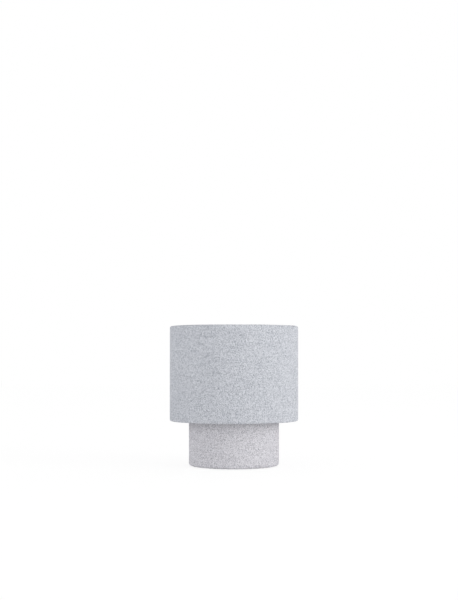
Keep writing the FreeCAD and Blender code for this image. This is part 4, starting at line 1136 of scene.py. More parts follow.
@dataclass(frozen=True)
class FlameFinish(Finish):
    """Frosted flame that is clear and cool at its foot, amber in its middle and pale at its tip."""

    foot: Colour = (0.55, 0.5, 0.45)
    tip: Colour = (1.0, 0.93, 0.78)
    bottom: float = 0.1
    top: float = 0.14
    foot_share: float = 0.35
    tip_share: float = 0.9
    frost_scale: float = 2500.0
    frost_detail: float = 2.0
    frost_depth: float = 0.00002
    roughness_change: float = 0.2
    coat: float = 0.15
    inner_light: float = 0.5
    reach: Colour = (0.004, 0.003, 0.0015)

    def dress(self, tree: FinishTree) -> None:
        """Run the three colours up the flame, with a fine frost.

        Args:
            tree: The material's tree.
        """
        height = tree.spread(tree.parts(tree.place)[2], self.bottom, self.top)
        lower = tree.mix(tree.spread(height, 0.0, self.foot_share), self.foot, self.base)
        colour = tree.mix(tree.spread(height, self.foot_share, self.tip_share), lower, self.tip)
        frost = tree.noise(tree.place, self.frost_scale, self.frost_detail)
        tree.show({"Base Color": colour, "Coat Weight": self.coat})
        self.roughened(tree, frost, self.roughness_change, *NOISE_RANGE)
        self.lit_inside(tree, self.inner_light, self.reach)
        self.raised(tree, tree.times(frost, self.frost_depth))


@dataclass(frozen=True)
class WoundFinish(Finish):
    """Enamelled wire wound in fine turns."""

    wire: float = 0.0001
    # Painted shade: share of the colour in the grooves between the turns
    shadow: float = 0.6
    metal: float = 0.9
    depth: float = 0.3

    def dress(self, tree: FinishTree) -> None:
        """Round each turn with a sine of the height.

        Args:
            tree: The material's tree.
        """
        height = tree.parts(tree.place)[2]
        turn = tree.math("SINE", tree.times(height, FULL_TURN / self.wire))
        # Painted shade in the grooves between the turns, following the same sine as the bump
        mask = tree.spread(turn, -1.0, 1.0)
        colour = tree.mix(mask, self.toned(self.shadow), self.base)
        tree.show({"Base Color": colour, "Metallic": self.metal})
        self.raised(tree, tree.times(turn, self.wire * self.depth))


@dataclass(frozen=True)
class BoardFinish(Finish):
    """Green circuit board with copper tracks under its lacquer."""

    track: Colour = (0.09, 0.33, 0.14)
    spacing: float = 0.0025
    track_edge: float = 0.35
    track_start: float = 0.4
    bare_roughness: float = 0.45
    track_roughness: float = 0.3
    track_height: float = 0.00003
    glass_scale: float = 9000.0
    glass_depth: float = 0.000004

    def dress(self, tree: FinishTree) -> None:
        """Lay the tracks as the edges of square cells, with the glass weave in the height.

        Args:
            tree: The material's tree.
        """
        inputs = {"Vector": tree.place, "Scale": 1 / self.spacing}
        cells = tree.node("ShaderNodeTexVoronoi", inputs, feature="F1", distance="CHEBYCHEV")
        on_track = tree.spread(cells.outputs["Distance"], self.track_edge, self.track_start)
        roughness = tree.spread(on_track, 0.0, 1.0, self.bare_roughness, self.track_roughness)
        colour = tree.mix(on_track, self.base, self.track)
        tree.show({"Base Color": colour, "Roughness": roughness})
        x, y, _ = tree.parts(tree.place)
        glass = [tree.math("SINE", tree.times(part, self.glass_scale)) for part in (x, y)]
        height = tree.times(tree.math("ADD", *glass), self.glass_depth)
        self.raised(tree, tree.math("MULTIPLY_ADD", on_track, self.track_height, height))


SHADE_CLOTH = ClothFinish("shade_melange", srgb(223, 225, 231), dark=srgb(135, 141, 152))
BASE_CLOTH = ClothFinish("base_melange", srgb(235, 234, 239), dark=srgb(146, 145, 154))
LINING = SkinFinish("white_laminate", srgb(240, 240, 237), 0.35, size=0.0015, change=0.015, coat=0.2)
FRAME_PAINT = SkinFinish("white_powder_coat", srgb(236, 236, 232), 0.42, size=0.0006, change=0.02)
RING_STEEL = PlatedFinish("zinc_wire", (0.6, 0.6, 0.6), 0.35)
WEIGHT_STEEL = PlatedFinish("oiled_steel", (0.42, 0.43, 0.44), 0.45, spangle=0.006)
SCREW_STEEL = TurnedFinish("nickel_screws", (0.66, 0.65, 0.62), 0.24, pitch=0.00012, depth=0.000003)
DECK_PAINT = SkinFinish("satin_powder_coat", srgb(222, 222, 220), 0.5, size=0.0007, change=0.02)
WELL_METAL = TurnedFinish("spun_aluminium", (0.74, 0.74, 0.75), 0.32)
SOFT_RING = SkinFinish("clear_silicone", srgb(226, 226, 222), 0.4, size=0.001, clear=0.25, inner_light=0.4)
SOFT_PAD = FoamFinish("black_foam", (0.05, 0.05, 0.055), 0.9)
FELT = FeltFinish("black_felt", (0.05, 0.05, 0.055), 0.95)
HOUSING = SkinFinish("grey_moulding", (0.32, 0.32, 0.33), 0.55, grain=Grain.SPARKED, size=0.0005)
WAX = WaxFinish("ivory_wax", srgb(240, 229, 207), 0.45)
CHIMNEY = SkinFinish("ivory_chimney", srgb(238, 227, 204), 0.45, size=0.0004, inner_light=0.2)
FLAME = FlameFinish("frosted_flame", (0.98, 0.72, 0.36), 0.35)
MAGNET = TurnedFinish("nickel_magnet", (0.7, 0.7, 0.7), 0.15, depth=0.000004)
CAP = SkinFinish("ivory_cap", srgb(232, 222, 203), 0.55, grain=Grain.SPARKED, size=0.0004)
CORE = SkinFinish("ivory_barrel", srgb(232, 222, 203), 0.5, size=0.0006)
HOLDER = SkinFinish("black_holder", (0.03, 0.03, 0.032), 0.5, size=0.0006)
CELL = SkinFinish("cell_wrap", (0.1, 0.11, 0.12), 0.3, grain=Grain.POLISHED, size=0.002, metal=0.6, coat=0.5)
CONTACT = PlatedFinish("nickel_contact", (0.72, 0.7, 0.66), 0.22, spangle=0.0015)
SWITCH = SkinFinish("black_switch", (0.025, 0.025, 0.027), 0.35, size=0.0005)
KNOB = SkinFinish("black_knob", (0.03, 0.03, 0.032), 0.32, size=0.0003)
WIRE = SkinFinish("red_insulation", (0.45, 0.03, 0.025), 0.35, grain=Grain.POLISHED, size=0.0008, change=0.08)
BOARD = BoardFinish("green_board", (0.03, 0.16, 0.06), 0.35)
COMPONENT = SkinFinish("black_component", (0.02, 0.02, 0.022), 0.4, size=0.0003)
BOBBIN = SkinFinish("white_bobbin", (0.72, 0.72, 0.7), 0.45, size=0.0005)
COIL = WoundFinish("enamelled_copper", (0.72, 0.28, 0.12), 0.3)
PIVOT_STEEL = PlatedFinish("polished_wire", (0.65, 0.65, 0.65), 0.25, spangle=0.0008)
LIGHT_LENS = SkinFinish("amber_lens", (0.95, 0.85, 0.6), 0.12, grain=Grain.POLISHED, clear=0.6)


# Cloth and screws


@dataclass
class Wrap:
    """One strip of cloth that goes once round a drum and laps over its own start.

    The strip starts under the lap. Its angle runs over a full turn and the lap. In the last stretch before
    the lap it rises by its step, so that it lies over its start. Where it is folded in, the start is cut away
    and the end doesn't rise.
    """

    name: str
    middle: np.ndarray
    radius: float
    seam: float
    lap_width: float
    folded_in: np.ndarray
    waves: Sequence[Wave]
    pleats: Sequence[Wave]
    seed: int
    thickness: float = 0.0011
    columns: int = 288
    ramp_width: float = 0.006
    step_play: float = 0.00005
    fold_calm: float = 0.7
    least_fold: float = 0.02
    slits: Sequence[float] = ()
    slit_width: float = 0.0
    slit_rows: np.ndarray | None = None
    slit_margin: float = 0.25

    def along(self) -> np.ndarray:
        """Return the length along the section at each of its points."""
        steps = np.linalg.norm(np.diff(self.middle, axis=0), axis=1)
        return np.concatenate([[0.0], np.cumsum(steps)])

    def flat_size(self) -> tuple[float, float]:
        """Return the size of the strip before it was wrapped, its length first."""
        return FULL_TURN * self.radius + self.lap_width, float(self.along()[-1])

    def slit_middles(self) -> list[float]:
        """Return the strip's own angle at the middle of each slit."""
        return [math.radians(azimuth - self.seam) % FULL_TURN for azimuth in self.slits]

    def slit_half(self) -> float:
        """Return half of a slit's width as an angle."""
        return self.slit_width / 2 / self.radius

    def angles(self) -> np.ndarray:
        """Spread the strip's columns over its turn, with a column at each side of each slit.

        Returns:
            The strip's own angle at each column.
        """
        lap, half = self.lap_width / self.radius, self.slit_half()
        angles = np.linspace(0, FULL_TURN + lap, self.columns + 1)
        edges = np.array([middle + side * half for middle in self.slit_middles() for side in (-1, 1)])
        if len(edges):
            apart = np.abs(angles[:, None] - edges[None, :]).min(axis=1)
            angles = angles[apart > self.slit_margin * half]
        return np.sort(np.concatenate([angles, edges]))

    def shell(self) -> Shell:
        """Work out the middle surface of the strip.

        A point is the section's point plus its normal times the rise at the lap and the sum of the waves,
        carried round the axis. Where it is folded in, pleats are added, and the waves are calmer.

        Returns:
            The grid, with its place on the flat strip.
        """
        angle, along = self.angles()[None, :], self.along()[:, None]
        slope = np.gradient(self.middle, axis=0)
        slope /= np.linalg.norm(slope, axis=1, keepdims=True)
        normal = np.stack([slope[:, 1], -slope[:, 0]], axis=1)
        ramp = self.ramp_width / self.radius
        rise = smooth_step((angle - (FULL_TURN - ramp)) / ramp) * (self.thickness + self.step_play)
        folded = self.folded_in[:, None]
        azimuth = angle + math.radians(self.seam)
        shift = rise * (1 - folded)
        shift = shift + ripple(azimuth, along, self.waves, self.seed) * (1 - self.fold_calm * folded)
        shift = shift + ripple(azimuth, along, self.pleats, self.seed + 1) * folded
        radius = self.middle[:, 0, None] + normal[:, 0, None] * shift
        height = self.middle[:, 1, None] + normal[:, 1, None] * shift
        places = np.stack([angle * self.radius + 0 * along, along + 0 * angle], axis=-1)
        return Shell(round_axis(radius, azimuth, height), places, self.kept(angle[0]))

    def kept(self, angle: np.ndarray) -> np.ndarray:
        """Say which cells of the grid are kept, without the slits and the start's cut corners.

        Args:
            angle: The strip's own angle at each column.

        Returns:
            One truth value for each cell.
        """
        middle = (angle[:-1] + angle[1:]) / 2
        folded = (self.folded_in[:-1] + self.folded_in[1:]) / 2
        under_lap = middle < self.lap_width / self.radius
        kept = ~((folded[:, None] > self.least_fold) & under_lap[None, :])
        for slit in self.slit_middles():
            in_slit = np.abs(middle - slit) < self.slit_half()
            kept &= ~(self.slit_rows[:-1, None] & in_slit[None, :])
        return kept

    def piece(self, body: Body, finish: Finish, slot: str, node: str, rests_on: Sequence[str]) -> None:
        """Make the cloth, give it its thickness and say what it was cut from.

        Args:
            body: The rigid group that it moves with.
            finish: Its finish.
            slot: Name of a material slot. Not used.
            node: Name of the solid that it stands for.
            rests_on: Names of the nodes that it is stretched over. Not used.
        """
        made = make_piece(self.name, [self.shell()], body, finish, [node], Crease.WOVEN, is_sheet=True)
        thick = made.modifiers.new("thickness", "SOLIDIFY")
        thick.thickness = self.thickness
        thick.offset = 0.0
        thick.use_rim = True
        LOG.info("%s: cut %.0f by %.0f mm", self.name, *(MM_PER_METRE * side for side in self.flat_size()))


@dataclass
class Screw:
    """Button head screw with a six-sided socket."""

    head: float
    height: float
    socket: float = 0.00115
    socket_depth: float = 0.001
    shank: float = 0.00145
    length: float = 0.01
    is_down: bool = False
    edge: float = 0.0001
    bevel_share: float = 1.08
    lip_share: float = 1.35
    foot_share: float = 0.15
    tip_length: float = 0.0003
    tip_share: float = 0.75
    spin: float = 2.3
    dome_rows: int = 9
    columns: int = 48
    sides: int = 6

    def outline(self) -> np.ndarray:
        """Work out the section from the socket's middle over the domed head to the shank's tip.

        Returns:
            A radius, a height and a share of six-sidedness in each row.
        """
        lip, foot = self.socket * self.lip_share, self.height * self.foot_share
        floor = self.height - self.socket_depth
        turns = np.linspace(0, math.pi / 2, self.dome_rows)[1:]
        dome = [
            (lip + (self.head - lip) * math.sin(turn), foot + (self.height - foot) * math.cos(turn), 0)
            for turn in turns
        ]
        rows = [
            (0, floor, 1),
            (self.socket, floor, 1),
            (self.socket, self.height - self.edge, 1),
            (self.socket * self.bevel_share, self.height, 1),
            (lip, self.height, 0),
            *dome,
            (self.head, self.edge, 0),
            (self.head - self.edge, 0, 0),
            (self.shank, 0, 0),
            (self.shank, self.tip_length - self.length, 0),
            (self.shank * self.tip_share, -self.length, 0),
            (0, -self.length, 0),
        ]
        return np.array(rows)

    def shell(self, circle: float, azimuth: float, seat: float) -> Shell:
        """Work out the surface of one screw.

        A six-sided row's radius is the radius times the cosine of half a side's angle over the cosine of the
        angle past the nearest flat's middle. Each screw is turned by its own angle.

        Args:
            circle: Radius of the circle that the screw stands on.
            azimuth: Where it stands on that circle, in degrees.
            seat: Height of the face under its head.

        Returns:
            Its surface, closed at the socket's middle and at the shank's end.
        """
        radius, height, sided = (part[:, None] for part in self.outline().T)
        angle = full_turn(self.columns)[None, :]
        half = math.pi / self.sides
        past_flat = (angle + half) % (2 * half) - half
        radius = radius * (1 + (math.cos(half) / np.cos(past_flat) - 1) * sided)
        turn = math.radians(azimuth)
        way = -1 if self.is_down else 1
        points = round_axis(radius, angle + turn * self.spin, seat + height * way)
        return Shell(points + (circle * math.cos(turn), circle * math.sin(turn), 0))


# Sub-assemblies


@dataclass
class Shade:
    """Upper drum: cloth over a stiff sheet, held by a ring at the top and a wire frame at the bottom."""

    # Places that its solids give
    radius: float
    foot: float
    top: float
    ring_radius: float
    ring_level: float
    wire: float
    seat_inner: float
    seat_outer: float
    seat_low: float
    seat_high: float
    arm_level: float

    # Cloth, its hems and its lap
    cloth: float = 0.0012
    cloth_step: float = 0.0024
    outer_round: float = 0.0019
    foot_round: float = 0.0006
    hem_sag: float = 0.0007
    hem_width: float = 0.0052
    hem_start: float = 0.0035
    hem_reach: float = 0.008
    hem_end: float = 0.0125
    hem_round: float = 0.002
    inner_round: float = 0.0022
    fold_start: float = 0.001
    fold_rise: float = 0.003
    seam: float = 114.0
    lap_width: float = 0.012
    waves: Sequence[Wave] = ((2, 9.0, 0.00012), (3, -14.0, 0.0001), (5, 22.0, 0.00006), (9, 40.0, 0.00003))
    pleats: Sequence[Wave] = ((31, 90.0, 0.00012), (47, -140.0, 0.0001), (73, 60.0, 0.00006))
    cloth_seed: int = 11
    slit_width: float = 0.0036
    slit_foot: float = 0.0018

    # Stiff sheet and its lap
    sheet: float = 0.0008
    sheet_play: float = 0.00004
    sheet_edge: float = 0.0001
    sheet_step: float = 0.006
    sheet_turn: float = 45.0
    sheet_lap_half: float = 4.0
    sheet_lap_margin: float = 0.012
    sheet_lap_front: float = 0.0004
    sheet_lap_back: float = 0.00005
    sheet_lap_columns: int = 9

    # Lower ring, arms and seat ring
    columns: int = 240
    wire_sides: int = 20
    arm_wire: float = 0.0015
    arm_bend: float = 0.06
    arm_bend_radius: float = 0.005
    arm_azimuths: tuple[float, ...] = (90.0, 210.0, 330.0)
    arm_step: float = 0.0015
    arm_turn: float = 5.0
    arm_end_rows: int = 7
    seat_width: float = 0.008
    seat_sheet: float = 0.002
    seat_round: float = 0.0005
    seat_turn: float = 18.0
    seat_columns: int = 192

    # Welds
    weld_inset: float = 0.0022
    weld_lift: float = 0.0001
    weld_apart: float = 0.0012
    seat_weld: tuple[float, float, float] = (0.0021, 0.0008, 0.0007)
    seat_weld_scales: int = 5
    ring_weld: tuple[float, float, float] = (0.0026, 0.0013, 0.0014)
    ring_weld_scales: int = 4
    ring_weld_turn: float = 90.0

    @classmethod
    def from_frame(cls) -> "Shade":
        """Take the shade's places from its solids.

        Returns:
            The shade.
        """
        low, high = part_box("shade_fabric")
        ring_low, ring_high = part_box("shade_top_ring")
        frame_low, frame_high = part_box("shade_frame")
        gasket_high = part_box("seat_gasket")[1]
        wire = (ring_high.z - ring_low.z) / 2
        return cls(
            radius=high.x,
            foot=low.z,
            top=high.z,
            ring_radius=ring_high.x - wire,
            ring_level=frame_low.z + wire,
            wire=wire,
            seat_inner=gasket_high.x - cls.seat_width,
            seat_outer=gasket_high.x,
            seat_low=gasket_high.z,
            seat_high=gasket_high.z + cls.seat_sheet,
            arm_level=frame_high.z - cls.arm_wire,
        )

    def build(self) -> None:
        """Make every piece of the shade."""
        self.make_cloth()
        self.make_lining()
        self.make_frame()

    def make_cloth(self) -> None:
        """Cloth of the shade, rolled round both rings and glued back to the stiff sheet."""
        outside = self.radius - self.cloth / 2
        inside = outside - self.hem_width
        glued = outside - self.sheet - self.cloth
        low, high = self.foot + self.cloth / 2 - self.hem_sag, self.top - self.cloth / 2
        corners = [
            (glued, self.foot + self.hem_end),
            (glued, self.foot + self.hem_reach, self.hem_round),
            (inside, self.foot + self.hem_start, self.hem_round),
            (inside, low, self.inner_round),
            (outside, low, self.foot_round),
            (outside, high, self.outer_round),
            (inside, high, self.inner_round),
            (inside, self.top - self.hem_start, self.hem_round),
            (glued, self.top - self.hem_reach, self.hem_round),
            (glued, self.top - self.hem_end),
        ]
        middle = rounded(corners, step=self.cloth_step)
        level, order = middle[:, 1], np.arange(len(middle))
        lower_fold = order < np.argmax(level < low + SAME_PLACE)
        upper_fold = order > len(middle) - 1 - np.argmax(level[::-1] > high - SAME_PLACE)
        depth = np.minimum(level - self.foot, self.top - level)
        share = smooth_step((depth - self.fold_start) / self.fold_rise)
        wrap = Wrap(
            "shade_cover", middle, self.radius, self.seam, self.lap_width,
            folded_in=np.where(lower_fold | upper_fold, share, 0.0),
            waves=self.waves,
            pleats=self.pleats,
            seed=self.cloth_seed,
            slits=self.arm_azimuths,
            slit_width=self.slit_width,
            slit_rows=lower_fold & (level - self.foot > self.slit_foot),
        )
        wrap.piece(Body.SHADE, SHADE_CLOTH, "shade_cloth", "shade_fabric", ["shade_lining", "shade_top_ring"])

    def make_lining(self) -> None:
        """Stiff sheet inside the shade, rolled into a drum with a glued lap.

        The drum is a thin section carried round the axis. The lap is a part of a second cylinder inside it,
        closed to the drum at its top, foot and sides.
        """
        low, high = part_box("shade_liner")
        outer = high.x - self.sheet_play
        inner = high.x - self.sheet + self.sheet_play
        edges, steps = (self.sheet_edge, self.sheet_edge), {"step": self.sheet_step, "turn": self.sheet_turn}
        drum = revolved(band(inner, outer, low.z, high.z, *edges, **steps), self.columns)
        front_radius = inner - self.sheet_lap_front
        ends = [(front_radius, low.z + self.sheet_lap_margin), (front_radius, high.z - self.sheet_lap_margin)]
        level = rounded(ends, step=self.sheet_step)[:, 1, None]
        span = self.seam + self.sheet_lap_half * np.linspace(-1, 1, self.sheet_lap_columns)[None, :]
        radii = (front_radius, inner - self.sheet_lap_back)
        front, back = (round_axis(radius, np.radians(span), level) for radius in radii)
        strip = np.concatenate([front, back[::-1], front[:1]])
        sides = [np.stack([front[:, column], back[:, column]], axis=1) for column in (0, -1)]
        shells = [Shell(drum), Shell(strip), *(Shell(side) for side in sides)]
        node = ["shade_liner"]
        make_piece("shade_lining", shells, Body.SHADE, LINING, node, Crease.CRISP)

    def arm(self, azimuth: float) -> Shell:
        """One arm: straight out from the seat ring, a bend, and straight down to the lower ring.

        Args:
            azimuth: Direction of the arm in degrees.

        Returns:
            Its surface, with a rounded inner end.
        """
        corners = [
            ((self.seat_inner + self.seat_outer) / 2, self.arm_level),
            (self.arm_bend, self.arm_level, self.arm_bend_radius),
            (self.ring_radius, self.ring_level),
        ]
        route = rounded(corners, step=self.arm_step, turn=self.arm_turn)
        cap = np.sin(np.linspace(0, math.pi / 2, self.arm_end_rows))
        inner_end = route[0] - np.stack([np.sqrt(1 - cap ** 2), 0 * cap], axis=1) * self.arm_wire
        radii = np.concatenate([cap[:-1], np.ones(len(route)), [0.0]]) * self.arm_wire
        route = np.concatenate([inner_end[:-1], route, route[-1:]])
        path = round_axis(route[:, 0], math.radians(azimuth), route[:, 1])
        path[-1] += (path[-2] - path[-3]) * END_STEP
        return Shell(carried(path, radii, self.wire_sides))

    def welds(self, azimuth: float) -> list[Shell]:
        """Weld at both sides of an arm on the seat ring, and round its end on the lower ring.

        Args:
            azimuth: Direction of the arm in degrees.

        Returns:
            Their surfaces.
        """
        turn = math.radians(azimuth)
        out = np.array([math.cos(turn), math.sin(turn), 0])
        side = np.array([-math.sin(turn), math.cos(turn), 0])
        middle = out * (self.seat_outer - self.weld_inset) + (0, 0, self.seat_high + self.weld_lift)
        seats = [middle + side * way * self.weld_apart for way in (-1, 1)]
        slope = math.atan2(self.arm_level - self.ring_level, self.ring_radius - self.arm_bend)
        inward, upward = self.wire * math.cos(slope), self.wire * math.sin(slope)
        foot = out * (self.ring_radius - inward) + (0, 0, self.ring_level + upward)
        beads = [bead(seat, azimuth, self.seat_weld, self.seat_weld_scales) for seat in seats]
        beads.append(bead(foot, azimuth + self.ring_weld_turn, self.ring_weld, self.ring_weld_scales))
        return [Shell(lump) for lump in beads]

    def make_frame(self) -> None:
        """Lower ring, three bent arms and the flat seat ring, welded and powder coated.

        The ring is a circle and the seat ring a flat section, both carried round the axis.
        """
        angles = full_turn(self.wire_sides)
        circle = np.stack([np.cos(angles), np.sin(angles)], axis=1) * self.wire
        ring = revolved(circle + (self.ring_radius, self.ring_level), self.columns)
        section = band(self.seat_inner, self.seat_outer, self.seat_low, self.seat_high,
                       self.seat_round, self.seat_round, turn=self.seat_turn)
        seat = revolved(section, self.seat_columns)
        shells = [Shell(ring), Shell(seat)]
        for azimuth in self.arm_azimuths:
            shells += [self.arm(azimuth), *self.welds(azimuth)]
        make_piece("shade_wire_frame", shells, Body.SHADE, FRAME_PAINT, ["shade_frame"])


@dataclass
class Base:
    """Lower drum: cloth over a moulded cup, with the deck, the well and the seat of the shade in its top."""

    # Places that its solids give
    radius: float
    top: float
    foot_edge: float
    fold_end: float
    deck_radius: float
    deck_edge: float
    deck_top: float
    flange_radius: float
    flange_top: float
    well_foot: float

    # Cloth, its folds and its lap
    cloth: float = 0.0012
    cloth_step: float = 0.0022
    wall: float = 0.0022
    floor: float = 0.0018
    foot_gap: float = 0.0005
    foot_round: float = 0.0025
    rim_round: float = 0.0015
    fold_depth: float = 0.009
    fold_rise: float = 0.003
    under_share: float = 0.8
    seam: float = 114.0
    lap_width: float = 0.012
    waves: Sequence[Wave] = ((2, 11.0, 0.00008), (3, -17.0, 0.00007), (7, 31.0, 0.00004))
    pleats: Sequence[Wave] = ((38, 30.0, 0.0001), (59, -50.0, 0.00008), (83, 20.0, 0.00005))
    cloth_seed: int = 23
    cloth_columns: int = 240

    # Felt foot and foam pad
    face_play: float = 0.00002
    disc_step: float = 0.003
    felt_edge: float = 0.0004
    felt_upper_edge: float = 0.0002
    felt_turn: float = 20.0
    felt_columns: int = 160
    fray: Sequence[Wave] = ((53, 0, 0.00004), (97, 0, 0.00005), (143, 0, 0.00003))
    fray_share: float = 0.97
    fray_seed: int = 31
    pad_foot_edge: float = 0.0002
    pad_edge: float = 0.0005
    pad_columns: int = 96

    # Deck and well
    edge_turn: float = 18.0
    metal_columns: int = 192
    cut_edge: float = 0.0002
    worn_edge: float = 0.0003
    deck_sheet: float = 0.0012
    deck_step: float = 0.0417
    deck_opening: float = 0.031
    deck_round: float = 0.0008
    deck_inner_round: float = 0.0005
    well_inner: float = 0.0293
    well_wall: float = 0.0008
    well_corner: float = 0.0022
    well_lip: float = 0.0014
    well_turn: float = 12.0

    # Screws and seat gasket
    screw_circle: float = 0.0365
    screw_azimuths: tuple[float, ...] = (90.0, 210.0, 330.0)
    screw_head: float = 0.0029
    screw_height: float = 0.002
    gasket_width: float = 0.0078
    gasket_foot_edge: float = 0.0003
    gasket_edge: float = 0.0004
    gasket_columns: int = 160

    @classmethod
    def from_frame(cls) -> "Base":
        """Take the base drum's places from its solids.

        Returns:
            The base drum.
        """
        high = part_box("base_fabric")[1]
        deck_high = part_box("deck_plate")[1]
        well_low, well_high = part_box("candle_well")
        return cls(
            radius=high.x,
            top=high.z,
            foot_edge=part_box("foot_pad")[1].x + cls.foot_gap,
            fold_end=high.z - cls.fold_depth,
            deck_radius=deck_high.x,
            deck_edge=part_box("seat_gasket")[0].z,
            deck_top=deck_high.z,
            flange_radius=well_high.x,
            flange_top=well_high.z,
            well_foot=well_low.z,
        )

    def build(self) -> None:
        """Make every piece of the base drum that shows."""
        self.make_cloth()
        self.make_foot()
        self.make_deck()
        self.make_well()
        self.make_screws()
        self.make_gasket()
        self.make_pad()

    def make_cloth(self) -> None:
        """Cloth of the base, folded over the rim and under the drum."""
        outside = self.radius - self.cloth / 2
        inside = outside - self.wall - self.cloth
        bottom = self.floor - self.cloth / 2
        high = self.top - self.cloth / 2
        corners = [
            (self.foot_edge, bottom),
            (outside, bottom, self.foot_round),
            (outside, high, self.rim_round),
            (inside, high, self.rim_round),
            (inside, self.fold_end),
        ]
        middle = rounded(corners, step=self.cloth_step)
        level = middle[:, 1]
        is_fold = (middle[:, 0] < inside + SAME_PLACE) & (level > self.fold_end - SAME_PLACE)
        under = smooth_step((self.foot_round + bottom - level) / (self.foot_round * self.under_share))
        fold = np.where(is_fold, smooth_step((high - self.rim_round - level) / self.fold_rise), 0.0)
        wrap = Wrap(
            "base_cover", middle, self.radius, self.seam, self.lap_width,
            folded_in=np.maximum(under, fold),
            columns=self.cloth_columns,
            waves=self.waves,
            pleats=self.pleats,
            seed=self.cloth_seed,
        )
        wrap.piece(Body.BASE, BASE_CLOTH, "base_cloth", "base_fabric", ["base_housing"])

    def disc(self, node: str, foot_edge: float, edge: float, turn: float) -> np.ndarray:
        """Work out the section of a flat disc, from the middle of its foot to the middle of its top.

        Args:
            node: Name of the solid that gives its size.
            foot_edge: Radius of its edge at the foot.
            edge: Radius of its edge at the top.
            turn: Largest turn between two points of an edge, in degrees.

        Returns:
            The points in order.
        """
        low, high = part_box(node)
        top = high.z - self.face_play
        corners = [(0, low.z), (high.x, low.z, foot_edge), (high.x, top, edge), (0, top)]
        return rounded(corners, step=self.disc_step, turn=turn)

    def make_foot(self) -> None:
        """Die-cut felt disc that the lamp stands on, with a frayed edge.

        The section is carried round the axis, and near its edge each radius gets the fray's waves.
        """
        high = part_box("foot_pad")[1]
        outline = self.disc("foot_pad", self.felt_edge, self.felt_upper_edge, self.felt_turn)
        points = revolved(outline, self.felt_columns)
        angle = np.arctan2(points[..., 1], points[..., 0])
        fray = ripple(angle, 0 * angle, self.fray, self.fray_seed)
        scale = 1 + fray / high.x * (outline[:, 0, None] > high.x * self.fray_share)
        points[..., :2] *= scale[..., None]
        made = make_piece("felt_foot", [Shell(points)], Body.BASE, FELT, ["foot_pad"])

    def make_deck(self) -> None:
        """Pressed and powder coated deck, with its step and its opening."""
        inner_step = self.deck_step - self.deck_sheet
        low_edge, low_top = self.deck_edge - self.deck_sheet, self.deck_top - self.deck_sheet
        corners = [
            (self.deck_opening, low_top, self.cut_edge),
            (inner_step, low_top, self.deck_inner_round),
            (inner_step, low_edge, self.deck_round),
            (self.deck_radius, low_edge, self.cut_edge),
            (self.deck_radius, self.deck_edge, self.worn_edge),
            (self.deck_step, self.deck_edge, self.deck_inner_round),
            (self.deck_step, self.deck_top, self.deck_round),
            (self.deck_opening, self.deck_top, self.worn_edge),
        ]
        surface = revolved(closed(corners, turn=self.edge_turn), self.metal_columns)
        make_piece("top_deck", [Shell(surface)], Body.BASE, DECK_PAINT, ["deck_plate"])

    def make_well(self) -> None:
        """Spun cup that holds the candle, with a rolled lip and a flange."""
        outer = self.well_inner + self.well_wall
        under = self.flange_top - self.well_wall
        floor = self.well_foot + self.well_wall
        corners = [
            (0, self.well_foot),
            (outer, self.well_foot, self.well_corner + self.well_wall),
            (outer, under, self.well_lip - self.well_wall),
            (self.flange_radius, under, self.cut_edge),
            (self.flange_radius, self.flange_top, self.worn_edge),
            (self.well_inner, self.flange_top, self.well_lip),
            (self.well_inner, floor, self.well_corner),
            (0, floor),
        ]
        outline = rounded(corners, step=self.disc_step, turn=self.well_turn)
        surface = revolved(outline, self.metal_columns)
        make_piece("spun_well", [Shell(surface)], Body.BASE, WELL_METAL, ["candle_well"])

    def make_screws(self) -> None:
        """Three screws that hold the flange and the deck."""
        screw = Screw(self.screw_head, self.screw_height)
        shells = [screw.shell(self.screw_circle, azimuth, self.flange_top) for azimuth in self.screw_azimuths]
        node = ["deck_screws"]
        make_piece("flange_screws", shells, Body.BASE, SCREW_STEEL, node, Crease.CRISP)

    def make_gasket(self) -> None:
        """Soft clear ring under the seat ring."""
        low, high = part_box("seat_gasket")
        section = band(high.x - self.gasket_width, high.x, low.z, high.z,
                       self.gasket_foot_edge, self.gasket_edge, turn=self.edge_turn)
        surface = revolved(section, self.gasket_columns)
        make_piece("seat_cushion_ring", [Shell(surface)], Body.BASE, SOFT_RING, ["seat_gasket"])

    def make_pad(self) -> None:
        """Foam disc under the candle."""
        outline = self.disc("well_pad", self.pad_foot_edge, self.pad_edge, self.edge_turn)
        surface = revolved(outline, self.pad_columns)
        made = make_piece("well_foam", [Shell(surface)], Body.BASE, SOFT_PAD, ["well_pad"])


